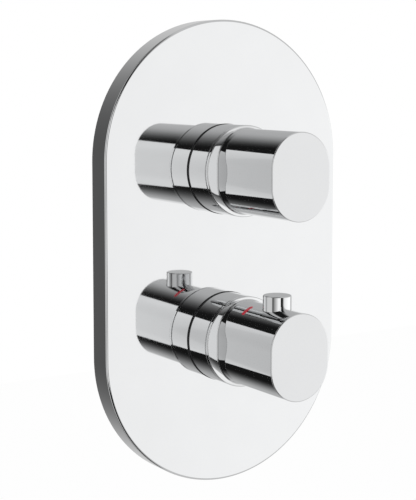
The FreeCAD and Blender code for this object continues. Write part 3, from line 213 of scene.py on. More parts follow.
class Tree:
    """Node tree of a finish or of the world."""

    def __init__(self, owner):
        owner.use_nodes = True
        self.nodes = owner.node_tree.nodes
        self.links = owner.node_tree.links
        self.nodes.clear()

    def node(self, kind, settings=None, values=None, output=0):
        """Adds a node: its settings first, then its sockets as values or links."""
        made = self.nodes.new(kind)
        for name, setting in (settings or {}).items():
            setattr(made, name, setting)
        for name, entry in (values or {}).items():
            if isinstance(entry, Signal):
                self.links.new(entry.socket, made.inputs[name])
            else:
                made.inputs[name].default_value = entry
        return Signal(self, made.outputs[output]) if made.outputs else made

    def number(self, value):
        return self.node("ShaderNodeMath", {"operation": "ADD"}, {0: value, 1: 0.0})

    def parts(self, place):
        """The three parts of a place or direction."""
        outputs = self.node("ShaderNodeSeparateXYZ", values={"Vector": place}).socket.node.outputs
        return [Signal(self, part) for part in outputs]

    def rays(self, *kinds):
        """For each kind of ray, a signal that is 1 on such rays and 0 on others."""
        outputs = self.node("ShaderNodeLightPath").socket.node.outputs
        return [Signal(self, outputs[f"Is {kind} Ray"]) for kind in kinds]

    def mixed(self, share, low, high):
        """Colour between two others."""
        values = {0: share, 6: (*low, 1.0), 7: (*high, 1.0)}
        return self.node("ShaderNodeMix", {"data_type": "RGBA"}, values, 2)

    def between(self, value, low, high):
        """0 at low, 1 at high, and smooth between them."""
        return self.node("ShaderNodeMapRange", {"interpolation_type": "SMOOTHSTEP"},
                         {"Value": value, "From Min": low, "From Max": high})

    def object_place(self):
        return self.node("ShaderNodeTexCoord", output="Object")

    def stretched(self, factors):
        """Object place stretched along its axes, for brushed finishes."""
        return self.node("ShaderNodeMapping", values={"Vector": self.object_place(), "Scale": factors})

    def speckle(self, scale, detail=3.0, place=None):
        """Noise in real size: scale is in features to the metre."""
        values = {"Vector": place or self.object_place(), "Scale": scale, "Detail": detail}
        return self.node("ShaderNodeTexNoise", values=values)

    def bump(self, height, depth, strength=1.0):
        values = {"Height": height, "Distance": depth, "Strength": strength}
        return self.node("ShaderNodeBump", values=values)


def finish(name, colour, **sockets):
    """Material with one Principled surface; colour and sockets are values or functions of the tree."""
    material = bpy.data.materials.new(name)
    tree = Tree(material)
    values = {"Base Color": colour, **sockets}
    for key, entry in values.items():
        if callable(entry):
            values[key] = entry(tree)
        elif isinstance(entry, tuple):
            values[key] = (*entry, 1.0)
    surface = tree.node("ShaderNodeBsdfPrincipled", values=values)
    tree.node("ShaderNodeOutputMaterial", values={"Surface": surface})
    return material


# ---------------------------------------------------------------- finishes
def mottled(scale, dark, light, detail=3.0):
    """Colour that wanders between two tones."""
    return lambda tree: tree.mixed(tree.speckle(scale, detail), dark, light)


def uneven(low, high, scale=90.0, detail=4.0):
    """Roughness that wanders a little, as on a polished surface that has been wiped."""
    return lambda tree: tree.speckle(scale, detail) * (high - low) + low


def grainy(scale, depth, strength, detail=3.0):
    """Fine relief of a skin."""
    return lambda tree: tree.bump(tree.speckle(scale, detail), depth, strength)


def chrome():
    return finish("polished_chrome", mottled(60.0, (0.70, 0.705, 0.71), (0.725, 0.73, 0.735)),
                  Metallic=1.0, Roughness=uneven(0.025, 0.05))


def chrome_face():
    """The turned end faces of the knobs, a touch duller than their sides."""
    return finish("faced_chrome", mottled(60.0, (0.62, 0.625, 0.63), (0.64, 0.645, 0.65)),
                  Metallic=1.0, Roughness=uneven(0.04, 0.07))


def black_seal():
    return finish("black_seal", (0.012, 0.012, 0.013), Roughness=0.55,
                  Normal=grainy(2500.0, 0.02 * MM, 0.5))


def foam():
    """Closed cells: small pits from a bump, the grey darkened into each pit as painted shade, with paler
    walls between them.
    """
    def cells(tree):
        return tree.node("ShaderNodeTexVoronoi", values={"Vector": tree.object_place(), "Scale": 1400.0})

    # The foam's grey, darker towards each cell's middle where the bump is lowest: painted shade in the
    # pits.
    def pit_shaded_grey(tree):
        return tree.mixed(cells(tree), (0.10, 0.10, 0.105), (0.17, 0.17, 0.175))

    def skin(tree):
        return tree.bump(cells(tree), 0.25 * MM)

    return finish("closed_cell_foam", pit_shaded_grey, Roughness=0.95, Normal=skin)


def cast_brass():
    return finish("cast_brass", mottled(70.0, (0.50, 0.34, 0.13), (0.66, 0.48, 0.22), 5.0),
                  Metallic=1.0, Roughness=uneven(0.42, 0.62, 180.0, 5.0),
                  Normal=grainy(700.0, 0.12 * MM, 0.7, 6.0))


def turned_brass():
    return finish("turned_brass", mottled(120.0, (0.66, 0.48, 0.20), (0.74, 0.56, 0.27)),
                  Metallic=1.0, Roughness=uneven(0.2, 0.3))


def zinc_steel():
    """Zinc plate over rolled sheet, with the rolling marks across the bracket."""
    def rough(tree):
        return tree.speckle(600.0, 4.0, tree.stretched((0.1, 1.0, 1.0))) * 0.15 + 0.32

    return finish("zinc_plated_steel", mottled(130.0, (0.42, 0.43, 0.44), (0.60, 0.61, 0.62), 5.0),
                  Metallic=1.0, Roughness=rough)


def spring_steel():
    return finish("spring_steel", mottled(500.0, (0.45, 0.45, 0.46), (0.60, 0.60, 0.61)),
                  Metallic=1.0, Roughness=0.28)


def ceramic():
    return finish("alumina_ceramic", mottled(900.0, (0.80, 0.79, 0.75), (0.88, 0.87, 0.84)),
                  Roughness=0.18)


def moulded(name, dark, light, roughness):
    return finish(name, mottled(200.0, dark, light), Roughness=roughness,
                  Normal=grainy(3000.0, 0.01 * MM, 0.4))


def red_enamel():
    return finish("red_enamel", mottled(1500.0, (0.40, 0.012, 0.028), (0.46, 0.018, 0.035)),
                  Roughness=0.3)


FINISHES = {
    "chrome": chrome(),
    "brass": turned_brass(),
    "black_seal": black_seal(),
    "foam": foam(),
    "bracket_steel": zinc_steel(),
    "spring_steel": spring_steel(),
    "ceramic": ceramic(),
    "grey_plastic": moulded("grey_acetal", (0.10, 0.105, 0.11), (0.13, 0.135, 0.14), 0.45),
    "white_plastic": moulded("white_acetal", (0.72, 0.72, 0.70), (0.80, 0.80, 0.78), 0.4),
    "red_enamel": red_enamel(),
}
CHROME_FACE = chrome_face()
CAST_BRASS = cast_brass()
SLOT_OF = {entry["node"]: entry["material_slot"] for entry in frame["record"]["subparts"]}
BODY_OF = {node: body
           for body, listed in frame["record"]["behaviour"]["bodies"].items() for node in listed}


def paint(obj, *materials):
    obj.data.materials.clear()
    for material in materials:
        obj.data.materials.append(material)


for node_name, node in frame["nodes"].items():
    paint(node, FINISHES[SLOT_OF[node_name]])


# ---------------------------------------------------------------- hand modelling
def only(obj):
    """Makes obj the one object that is selected and active."""
    bpy.ops.object.select_all(action="DESELECT")
    obj.select_set(True)
    bpy.context.view_layer.objects.active = obj


def done():
    bpy.ops.object.mode_set(mode="OBJECT")


def edit(obj):
    """Starts editing obj with nothing selected."""
    if bpy.context.mode != "OBJECT":
        done()
    only(obj)
    bpy.ops.object.mode_set(mode="EDIT")
    bpy.ops.mesh.select_mode(type="VERT")
    bpy.ops.mesh.select_all(action="DESELECT")


def pick(obj, domain, wanted):
    """Selects the faces or edges of obj that a test of their middle and normal, or ends, accepts."""
    done()
    mesh = obj.data
    for group in (mesh.vertices, mesh.edges, mesh.polygons):
        group.foreach_set("select", [False] * len(group))
    if domain == "FACE":
        for face in mesh.polygons:
            face.select = wanted(face.center, face.normal)
    else:
        for edge in mesh.edges:
            edge.select = wanted(*(mesh.vertices[index].co for index in edge.vertices))
    bpy.ops.object.mode_set(mode="EDIT")
    bpy.ops.mesh.select_mode(type=domain)


def face_at(front):
    """Test for flat faces square to Y that lie at front."""
    return lambda middle, normal: abs(normal.y) > 0.999 and middle.y < front + WELD_GAP


def edge_at(front):
    """Test for edges that lie at front."""
    return lambda start, end: start.y < front + WELD_GAP and end.y < front + WELD_GAP


def started(kind, name, **sizes):
    """A primitive under its own name, with nothing else selected."""
    bpy.ops.object.select_all(action="DESELECT")
    getattr(bpy.ops.mesh, f"primitive_{kind}_add")(**sizes)
    obj = bpy.context.object
    obj.name = name
    obj.data.name = name
    return obj


def settle(obj):
    """Moves the object's place into its mesh."""
    only(obj)
    bpy.ops.object.transform_apply(location=True, rotation=True, scale=True)
    return obj


def first_corner(name, place):
    """A mesh of one selected corner, to be extruded and spun; editing goes on."""
    obj = started("plane", name, size=1.0, location=place)
    settle(obj)
    edit(obj)
    bpy.ops.mesh.select_all(action="SELECT")
    bpy.ops.mesh.merge(type="CENTER")
    bpy.ops.mesh.select_all(action="SELECT")
    return obj


def draw_on(step):
    """Extrudes what is selected by a step."""
    bpy.ops.mesh.extrude_region_move(TRANSFORM_OT_translate={"value": step})


def merge_doubles():
    """Makes one of the corners that share a place, and leaves everything selected."""
    bpy.ops.mesh.select_all(action="SELECT")
    bpy.ops.mesh.remove_doubles(threshold=WELD_GAP)
    bpy.ops.mesh.select_all(action="SELECT")


def smooth_below(degrees):
    """Smooths the selected object where its faces meet at less than an angle."""
    bpy.ops.object.shade_smooth_by_angle(angle=math.radians(degrees))


def welded(obj, smooth_angle=30.0):
    """Closes the seams of obj, turns its faces outwards and smooths what isn't an edge."""
    edit(obj)
    merge_doubles()
    bpy.ops.mesh.normals_make_consistent(inside=False)
    done()
    smooth_below(smooth_angle)
    return obj


def turned(name, profile, centre, axis, steps=ROUND_CHROME):
    """Closed turned piece: profile is (radius, run) from the first corner round to the last."""
    across = axis.orthogonal().normalized()
    spots = [centre + across * radius + axis * run for radius, run in profile]
    obj = first_corner(name, spots[0])
    for here, there in zip(spots, spots[1:] + spots[:1]):
        if (there - here).length > WELD_GAP:
            draw_on(there - here)
    merge_doubles()
    bpy.ops.mesh.spin(steps=steps, angle=2 * math.pi, center=centre, axis=axis)
    done()
    return welded(obj)


def round_bar(name, radius, start, end, vertices=ROUND_BORE):
    """Plain round bar between two points."""
    run = end - start
    obj = started("cylinder", name, vertices=vertices, radius=radius, depth=run.length,
                  location=(start + end) / 2, rotation=run.to_track_quat("Z", "Y").to_euler())
    return settle(obj)


def use_up(obj, modifier):
    """Applies a modifier that is already set up."""
    only(obj)
    bpy.ops.object.modifier_apply(modifier=modifier.name)


def apply_boolean(obj, tool, operation="DIFFERENCE"):
    """Cuts or joins obj with a tool, which is used up."""
    carve = obj.modifiers.new("carve", "BOOLEAN")
    carve.operation = operation
    carve.solver = "EXACT"
    carve.object = tool
    use_up(obj, carve)
    bpy.data.objects.remove(tool, do_unlink=True)


def soften(obj, width):
    """Rounds every sharp edge of obj by a small width."""
    edges = obj.modifiers.new("soft_edges", "BEVEL")
    edges.width = width
    edges.segments = 3
    edges.limit_method = "ANGLE"
    edges.angle_limit = math.radians(40)
    use_up(obj, edges)
    smooth_below(30)


def joined(first, *others):
    """One object of several, each with its own closed shell."""
    only(first)
    for obj in others:
        obj.select_set(True)
    bpy.ops.object.join()
    return first


def stands_for(obj, node, *materials):
    """Gives obj the place of a node: its body, its slot and its finish."""
    paint(obj, *(materials or [FINISHES[SLOT_OF[node]]]))
    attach(obj, BODY_OF[node])
    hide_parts(node)


def in_middle(y, z):
    """Place on the upright middle plane of the valve."""
    return Vector((0, y, z))


# ---------------------------------------------------------------- oblongs with semicircular ends
def oblong_outline(name, half_width, half_height, y, level=0.0):
    """Upright oblong face, drawn as one closed line and filled; editing goes on."""
    straight = half_height - half_width
    obj = first_corner(name, Vector((half_width, y, level - straight)))
    for sign in (1, -1):
        draw_on((0, 0, sign * 2 * straight))
        bpy.ops.mesh.spin(steps=ROUND_END, angle=math.pi, axis=INWARDS,
                          center=(0, y, level + sign * straight))
    merge_doubles()
    bpy.ops.mesh.edge_face_add()
    return obj


def oblong_block(name, half_width, half_height, back, run):
    """Upright oblong solid from back along Y; a negative run goes forward."""
    obj = oblong_outline(name, half_width, half_height, back)
    draw_on((0, run, 0))
    return welded(obj)


def draw_forward_with_rim(obj, length, front, edge, segments):
    """Draws the selected face forward to front and rounds the rim there."""
    for step in (SUPPORT, length - edge - 2 * SUPPORT, SUPPORT + edge):
        draw_on((0, -step, 0))
    pick(obj, "EDGE", edge_at(front))
    bpy.ops.mesh.bevel(offset=edge, segments=segments, affect="EDGES")
    pick(obj, "FACE", face_at(front))
    bpy.ops.mesh.inset(thickness=SUPPORT)
    done()


# ---------------------------------------------------------------- cover plate
def make_face_plate():
    """Pressed cover: an oblong drawn forward from the wall, rounded in front, hollow behind."""
    plate = oblong_outline("chrome_face_plate", PLATE_HALF_WIDTH, PLATE_HALF_HEIGHT, 0.0)
    draw_forward_with_rim(plate, -PLATE_FRONT, PLATE_FRONT, PLATE_EDGE, 6)
    hollow = oblong_block("plate_hollow", PLATE_HALF_WIDTH - PLATE_WALL, PLATE_HALF_HEIGHT - PLATE_WALL,
                          MM, PLATE_FRONT + PLATE_WALL - MM)
    welded(plate)
    apply_boolean(plate, hollow)
    for level in LEVELS.values():
        hole = round_bar("plate_hole", PLATE_HOLE, in_middle(2 * MM, level),
                         in_middle(2 * PLATE_FRONT, level), ROUND_MIDDLE)
        apply_boolean(plate, hole)
    smooth_below(20)
    stands_for(plate, "face_plate")


# ---------------------------------------------------------------- fixed sleeves and seal rings
def make_sleeve(control):
    """Bright ring on the collar, with a thin flange that closes it in front."""
    length = SLEEVE_BACK - SLEEVE_FRONT
    flange = length - SLEEVE_FLANGE
    profile = [(SLEEVE_INNER, 0), (SLEEVE_RADIUS - SUPPORT / 2, 0), (SLEEVE_RADIUS, SUPPORT / 2),
               (SLEEVE_RADIUS, 2 * SUPPORT), (SLEEVE_RADIUS, length - JOINT_EDGE - SUPPORT),
               (SLEEVE_RADIUS, length - JOINT_EDGE), (SLEEVE_RADIUS - JOINT_CROWN, length - JOINT_CROWN),
               (SLEEVE_RADIUS - JOINT_EDGE, length), (SLEEVE_MOUTH, length), (SLEEVE_MOUTH, flange),
               (SLEEVE_INNER, flange)]
    sleeve = turned(f"{control}_chrome_sleeve", profile, in_middle(SLEEVE_BACK, LEVELS[control]), FORWARD)
    stands_for(sleeve, f"{control}_sleeve")


def make_seal_ring(control):
    """Black ring squeezed between sleeve and plate, with a crowned rim."""
    thick = SEAL_BACK - SEAL_FRONT
    crown = thick / 4
    profile = [(SEAL_INNER, 0), (SEAL_RADIUS - crown, 0), (SEAL_RADIUS, crown),
               (SEAL_RADIUS, thick - crown), (SEAL_RADIUS - crown, thick), (SEAL_INNER, thick)]
    ring = turned(f"{control}_black_seal", profile, in_middle(SEAL_BACK, LEVELS[control]), FORWARD,
                  ROUND_LARGE)
    stands_for(ring, f"{control}_seal_ring")


# ---------------------------------------------------------------- knobs
def quarter_round(radius, steps):
    """Corners of a quarter round as pairs: how far it has gone along, and how far it has turned in."""
    turns = [math.pi / 2 * step / steps for step in range(steps + 1)]
    return [(radius * math.sin(turn), radius * (1 - math.cos(turn))) for turn in turns]


def rounded_rim(radius, run, edge, steps):
    """Corners of a turned piece's rounded rim, as (radius, run), up to its end face at run."""
    return [(radius - rise, run - edge + along) for along, rise in quarter_round(edge, steps)]


def barrel(name, level):
    """Oblong barrel of a knob, drawn forward from inside the lip with a small fillet at its root."""
    start = KNOB_BACK - LIP_THICKNESS / 2
    obj = oblong_outline(name, KNOB_HALF_WIDTH + ROOT_FILLET, KNOB_HALF_HEIGHT + ROOT_FILLET, start, level)
    draw_on((0, -LIP_THICKNESS / 2, 0))
    root = quarter_round(ROOT_FILLET, 5)
    for here, there in zip(root, root[1:]):
        bpy.ops.mesh.inset(thickness=there[0] - here[0], depth=there[1] - here[1])
    length = start - LIP_THICKNESS / 2 - ROOT_FILLET - KNOB_FRONT
    draw_forward_with_rim(obj, length, KNOB_FRONT, KNOB_EDGE, 5)
    return welded(obj, 25)


def lip(name, level):
    """Round lip at the back of a knob, with the open cavity of the knob in its middle."""
    inner = CAVITY_RADIUS - MM
    profile = [(inner, 0), (LIP_RADIUS - JOINT_EDGE, 0), (LIP_RADIUS, JOINT_EDGE),
               (LIP_RADIUS, JOINT_EDGE + SUPPORT), (LIP_RADIUS, LIP_THICKNESS - LIP_EDGE - SUPPORT),
               *rounded_rim(LIP_RADIUS, LIP_THICKNESS, LIP_EDGE, 4), (inner, LIP_THICKNESS)]
    return turned(name, profile, in_middle(KNOB_BACK, level), FORWARD)


def knob_cavity(name, level):
    """What is bored out of a knob from behind: the cavity and the hub beyond it."""
    hub_end = KNOB_BACK - KNOB_FRONT - END_WALL
    hub_start = hub_end - HUB_LENGTH
    profile = [(0, -MM), (CAVITY_RADIUS, -MM), (CAVITY_RADIUS, hub_start), (HUB_RADIUS, hub_start),
               (HUB_RADIUS, hub_end), (0, hub_end)]
    return turned(name, profile, in_middle(KNOB_BACK, level), FORWARD, ROUND_MIDDLE)


def grub_way(control):
    """Hole for the grub screw in the underside of a knob."""
    low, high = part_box(f"{control}_grub_screw")
    at, level = ((low + high) / 2).y, LEVELS[control]
    return round_bar("grub_way", high.x + SCREW_GAP, in_middle(at, level),
                     in_middle(at, level - 2 * KNOB_HALF_HEIGHT))


def mark_recess(level):
    """Round-ended cutter that lies across the top arc of a knob, turned about that arc's centre."""
    recess = oblong_block("mark_recess", MARK_HALF_WIDTH, MARK_HALF_LENGTH, MARK_DEPTH - KNOB_HALF_WIDTH,
                          -MM - MARK_DEPTH)
    outwards = Vector((-math.sin(MARK_TURN), 0, math.cos(MARK_TURN)))
    along = Vector((math.cos(MARK_TURN), 0, math.sin(MARK_TURN)))
    place = Matrix((FORWARD, -outwards, along)).transposed().to_4x4()
    place.translation = in_middle(MARK_AT, level + KNOB_ARC_RISE)
    recess.matrix_world = place
    return settle(recess)


def face_front(knob):
    """Gives the flat front of a knob its own finish."""
    on_front = face_at(KNOB_FRONT)
    for face in knob.data.polygons:
        face.material_index = int(on_front(face.center, face.normal))


def make_knob(control):
    """Lip and barrel in one, bored from behind; the lower one takes the button and the mark too."""
    level = LEVELS[control]
    knob = barrel(f"{control}_chrome_knob", level)
    apply_boolean(knob, lip("lip", level), "UNION")
    apply_boolean(knob, knob_cavity("cavity", level))
    apply_boolean(knob, grub_way(control))
    if control == "lower":
        way = round_bar("button_way", BUTTON_RADIUS + BUTTON_GAP,
                        in_middle(BUTTON_AT, level + BUTTON_FLOOR),
                        in_middle(BUTTON_AT, level + 2 * KNOB_HALF_HEIGHT), ROUND_MIDDLE)
        apply_boolean(knob, way)
        stem = round_bar("stem_way", STEM_RADIUS + BUTTON_GAP, in_middle(BUTTON_AT, level),
                         in_middle(BUTTON_AT, level + KNOB_HALF_HEIGHT))
        apply_boolean(knob, stem)
        apply_boolean(knob, mark_recess(level))
    smooth_below(25)
    stands_for(knob, f"{control}_knob", FINISHES["chrome"], CHROME_FACE)
    face_front(knob)


def make_button():
    """Push button: a bright cap with a rounded rim, on a stem with a groove for its clip."""
    level = LEVELS["lower"]
    top, foot = button_high.z - level, button_low.z - level
    under = top - BUTTON_HEAD
    clip_low, clip_high = (corner.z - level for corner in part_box("button_clip"))
    profile = [(0, foot), (STEM_FOOT, foot), (STEM_FOOT, clip_low), (STEM_GROOVE, clip_low),
               (STEM_GROOVE, clip_high), (STEM_RADIUS, clip_high), (STEM_RADIUS, under),
               (BUTTON_RADIUS - JOINT_EDGE, under), (BUTTON_RADIUS, under + JOINT_EDGE),
               (BUTTON_RADIUS, under + JOINT_EDGE + SUPPORT), (BUTTON_RADIUS, top - BUTTON_EDGE - SUPPORT),
               *rounded_rim(BUTTON_RADIUS, top, BUTTON_EDGE, 6),
               (BUTTON_RADIUS - BUTTON_EDGE - SUPPORT, top), (0, top)]
    button = turned("chrome_safety_button", profile, in_middle(BUTTON_AT, level), Vector((0, 0, 1)),
                    ROUND_MIDDLE)
    stands_for(button, "safety_button")


# ---------------------------------------------------------------- bracket and foam strip on the wall
def make_bracket():
    """Pressed steel bracket with a large hole round each barrel and small ones for the screws."""
    low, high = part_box("wall_bracket")
    bracket = oblong_block("steel_wall_bracket", high.x, high.z, high.y, low.y - high.y)
    holes = [(0, level, BARREL_RADIUS + BRACKET_GAP) for level in LEVELS.values()]
    for across, rise, radius in (WALL_FIXING, BODY_SCREW):
        holes += [(side * across, end * rise, radius) for side in (-1, 1) for end in (-1, 1)]
    for across, rise, radius in holes:
        way = round_bar("way", radius, Vector((across, MM, rise)), Vector((across, 2 * low.y, rise)),
                        ROUND_MIDDLE)
        apply_boolean(bracket, way)
    soften(bracket, BRACKET_EDGE)
    stands_for(bracket, "wall_bracket")


def make_gasket():
    """Closed-cell foam strip in the rim of the cover plate."""
    low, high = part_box("plate_gasket")
    strip = oblong_block("foam_wall_gasket", high.x, high.z, high.y, low.y - high.y)
    middle = oblong_block("gasket_middle", high.x - GASKET_WIDTH, high.z - GASKET_WIDTH, high.y + MM,
                          2 * low.y)
    apply_boolean(strip, middle)
    soften(strip, GASKET_EDGE)
    stands_for(strip, "plate_gasket")


# ---------------------------------------------------------------- brass body
def ports():
    """Tapped ports as (outer middle, direction inwards, thread radius, thread length)."""
    for mount in frame["record"]["mounts"]:
        if mount["kind"] == "threaded_hole":
            outwards = Vector(mount["axis"])
            length = mount["dims"]["length_mm"] * MM
            outer = Vector(mount["pos_m"]) + outwards * length / 2
            yield outer, -outwards, mount["dims"]["r_mm"] * MM, length


def cast_blank():
    """The casting as it leaves its mould: bars and webs run together, with soft inner corners."""
    bars = []
    for level in LEVELS.values():
        bars.append(round_bar("cast_barrel", BARREL_RADIUS, in_middle(BODY_FRONT - FACING_STOCK, level),
                              in_middle(BARREL_BACK, level), ROUND_LARGE))
    for outer, inwards, radius, _ in ports():
        bars.append(round_bar("cast_port", radius + PORT_WALL, outer - inwards * FACING_STOCK,
                              in_middle(outer.y, outer.z), ROUND_LARGE))
    bars.append(round_bar("cast_gallery", RIDGE_RADIUS, in_middle(GALLERY_DEPTH, RIDGE_FOOT),
                          in_middle(GALLERY_DEPTH, RIDGE_TOP), ROUND_LARGE))
    flange = started("cube", "brass_valve_body", size=1.0, location=(0, FLANGE_THICKNESS / 2, 0),
                     scale=(2 * FLANGE_HALF_WIDTH, FLANGE_THICKNESS, 2 * FLANGE_HALF_HEIGHT))
    settle(flange)
    pick(flange, "EDGE", lambda start, end: abs(start.y - end.y) > MM)
    bpy.ops.mesh.bevel(offset=FLANGE_CORNER, segments=12, affect="EDGES")
    done()
    web = started("cube", "cast_web", size=1.0,
                  location=(0, GALLERY_DEPTH / 2, (RIDGE_FOOT + RIDGE_TOP) / 2),
                  scale=(2 * RIDGE_RADIUS, GALLERY_DEPTH - FLANGE_THICKNESS, RIDGE_TOP - RIDGE_FOOT))
    settle(web)
    blank = joined(flange, web, *bars)
    skin = blank.modifiers.new("one_skin", "REMESH")
    skin.mode = "VOXEL"
    skin.voxel_size = CAST_GRAIN
    use_up(blank, skin)
    flow = blank.modifiers.new("mould_radii", "SMOOTH")
    flow.factor = 0.5
    flow.iterations = 7
    use_up(blank, flow)
    return blank


class Machining:
    """Tools that cut the casting in three passes, and the round zones that they leave bright."""

    def __init__(self):
        self.passes = [], [], []
        self.zones = []

    def drill(self, turn, name, radius, start, end, vertices=ROUND_WAY):
        """Adds a plain drill to a pass."""
        self.passes[turn].append(round_bar(name, radius, start, end, vertices))

    def face_and_bore(self, name, outer, inwards, steps):
        """Adds a tool that faces a round boss and bores it; steps are (radius, run) from its face."""
        over = -3 * FACING_STOCK
        profile = [(0, over), (steps[0][0], over), *steps, (0, steps[-1][1])]
        self.passes[0].append(turned(name, profile, outer, inwards, ROUND_MIDDLE))

    def zone(self, centre, direction, radius, first, last):
        """Adds a round zone about a line from centre, between two runs along it."""
        self.zones.append((centre, direction, radius, first, last))

    def cut(self, body):
        """Cuts the body with all the tools."""
        for tools in self.passes:
            apply_boolean(body, joined(*tools))

    def brighten(self, body):
        """Gives the faces in the zones the second finish of the body."""
        for face in body.data.polygons:
            for centre, direction, radius, first, last in self.zones:
                step = face.center - centre
                run = step.dot(direction)
                if first < run < last and (step - direction * run).length < radius:
                    face.material_index = 1


def bore_barrel(work, control):
    """Seat of the collar, bore of the cartridge and the water way in the middle of its floor."""
    level = LEVELS[control]
    front = in_middle(BODY_FRONT, level)
    floor = in_middle(BODY_FRONT + CARTRIDGE_DEPTH, level)
    steps = [(BARREL_RADIUS + MM, 0), (COLLAR_WAY, 0), (COLLAR_WAY, COLLAR_WAY_DEPTH),
             (CARTRIDGE_BORE, COLLAR_WAY_DEPTH), (CARTRIDGE_BORE, CARTRIDGE_DEPTH)]
    work.face_and_bore("barrel_cutter", front, INWARDS, steps)
    work.drill(1, "centre_way", CENTRE_WAYS[control], floor - INWARDS * MM,
               in_middle(GALLERY_DEPTH, level), ROUND_BORE)
    work.zone(front, INWARDS, BARREL_RADIUS + MM, -MM, FACED_DEPTH)
    work.zone(front, INWARDS, COLLAR_WAY + BORED_DEPTH, 0, CARTRIDGE_DEPTH + BORED_DEPTH)


def thread_steps(radius, length):
    """Crests and roots of a pipe thread along a bore, from its chamfered mouth inwards."""
    steps = [(radius + THREAD_DEPTH, 0)]
    for turn in range(int(length / THREAD_PITCH)):
        steps += [(radius + deep * THREAD_DEPTH, (turn + share) * THREAD_PITCH)
                  for share, deep in THREAD_TURN]
    return steps[:-2] + [(radius, length)]


def lead_in(work, outer, axis, length):
    """Way from a check valve's bore to the cartridge; gives back the corners of that bore."""
    bottom = length + CHECK_DEPTH
    shift = INLET_WAY_SHIFT if outer.x < 0 else -INLET_WAY_SHIFT
    way = outer + INWARDS * shift + axis * (bottom - MM)
    work.drill(1, "inlet_way", INLET_WAY, way, way + axis * CHECK_DEPTH / 2)
    return [(CHECK_BORE, length), (CHECK_BORE, bottom)]


def lead_out(work, outer, axis, length):
    """Way from the cartridge's floor, through a short drop, to an outlet's thread."""
    way = Vector((outer.x, OUTLET_WAY_DEPTH, outer.z)) + axis * (length - MM)
    drop = Vector((-axis.x * OUTLET_DROP_AT, OUTLET_WAY_DEPTH, outer.z))
    work.drill(1, "outlet_way", OUTLET_WAY, way, drop)
    work.drill(2, "outlet_drop", OUTLET_DROP, Vector((drop.x, OUTLET_DROP_START, drop.z)), drop)
    return []


def bore_port(work, outer, axis, radius, length):
    """Faced and tapped port, with what leads on from it: in the lower half an inlet, above an outlet."""
    onwards = lead_in if outer.z < 0 else lead_out
    steps = [(radius + PORT_WALL + MM, 0), *thread_steps(radius, length),
             *onwards(work, outer, axis, length)]
    work.face_and_bore("port_cutter", outer, axis, steps)
    work.zone(outer, axis, radius + PORT_WALL + MM, -MM, FACED_DEPTH)
    work.zone(outer, axis, radius + 2 * THREAD_DEPTH, 0, 2 * length)


def bore_flange(work):
    """Tapped holes for the four screws that hold the body on its bracket."""
    across, rise, _ = BODY_SCREW
    for side in (-1, 1):
        for end in (-1, 1):
            spot = Vector((side * across, -FLANGE_THICKNESS, end * rise))
            work.drill(0, "screw_way", BODY_SCREW_TAPPED, spot, spot + INWARDS * 3 * FLANGE_THICKNESS)


def bore_gallery(work):
    """Long way that joins the two cartridges behind, drilled from below and closed by its plug."""
    _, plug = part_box("gallery_plug")
    work.drill(0, "plug_way", plug.x + SCREW_GAP, in_middle(GALLERY_DEPTH, RIDGE_FOOT - 2 * MM),
               in_middle(GALLERY_DEPTH, plug.z), ROUND_BORE)
    work.drill(2, "gallery", GALLERY_RADIUS, in_middle(GALLERY_DEPTH, RIDGE_FOOT),
               in_middle(GALLERY_DEPTH, LEVELS["upper"]), ROUND_BORE)


def make_body():
    """Cast body with its ports, cartridge bores, water ways and screw holes machined."""
    work = Machining()
    for control in LEVELS:
        bore_barrel(work, control)
    for port in ports():
        bore_port(work, *port)
    bore_flange(work)
    bore_gallery(work)
    body = cast_blank()
    work.cut(body)
    smooth_below(35)
    stands_for(body, "valve_body", CAST_BRASS, FINISHES["brass"])
    work.brighten(body)


# ---------------------------------------------------------------- springs that a joint presses together
# Each as its node, the direction it is pressed in, wire radius, turns, joint and travel.
SPRINGS = (
    ("button_spring", (0, 0, -1), 0.2 * MM, 2, "safety_button_press", 2.2 * MM),
    ("return_spring", (0, 1, 0), 0.45 * MM, 4, "mixing_slide", 0.42 * MM),
    ("hot_check_spring", (1, 0, 0), 0.25 * MM, 3, "hot_check_lift", 1.4 * MM),
    ("cold_check_spring", (-1, 0, 0), 0.25 * MM, 3, "cold_check_lift", 1.4 * MM),
)
WIRE_CORNERS = 10
STEPS_PER_TURN = 28


def make_spring(node, axis, wire, turns, joint, travel):
    """Coil of round wire in the place of its node."""
    low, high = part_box(node)
    middle, half = (low + high) / 2, (high - low) / 2
    axis = Vector(axis)
    reach = abs(half.dot(axis))
    radius = max(size for size, share in zip(half, axis) if not share) - wire
    coil = started("circle", f"{node}_coil", vertices=WIRE_CORNERS, radius=wire,
                   location=(radius, 0, wire - reach), rotation=(math.pi / 2, 0, 0))
    settle(coil)
    sweep = coil.modifiers.new("sweep", "SCREW")
    sweep.axis = "Z"
    sweep.angle = 2 * math.pi * turns
    sweep.screw_offset = 2 * (reach - wire)
    sweep.steps = sweep.render_steps = STEPS_PER_TURN * turns
    use_up(coil, sweep)
    edit(coil)
    bpy.ops.mesh.select_all(action="SELECT")
    bpy.ops.mesh.fill_holes(sides=0)
    welded(coil, 40)
    coil.rotation_euler = axis.to_track_quat("Z", "Y").to_euler()
    coil.location = middle
    settle(coil)
    stands_for(coil, node)
    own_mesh(coil)


make_face_plate()
for control in LEVELS:
    make_sleeve(control)
    make_seal_ring(control)
    make_knob(control)
make_button()
make_bracket()
make_gasket()
make_body()
for spring in SPRINGS:
    make_spring(*spring)


# ---------------------------------------------------------------- camera, light and surroundings
CAMERA_AT = Vector((-345.1, -520.2, 85.4)) * MM
CAMERA_TURN = math.radians(33.39)
CAMERA_DIP = math.radians(5.59)
FOCAL_PIXELS = 1302.9
IMAGE_HEIGHT = 500
AXIS_RISE = 50
SENSOR = 36.0
FLOOR_LEVEL = -1.1
FLOOR_SIZE = 8.0
FLOOR_GREY = (0.8, 0.8, 0.8, 1)
FLOOR_WHITE = 0.96
WHITE = (1, 1, 1, 1)
ROOM_LIGHT = 0.9
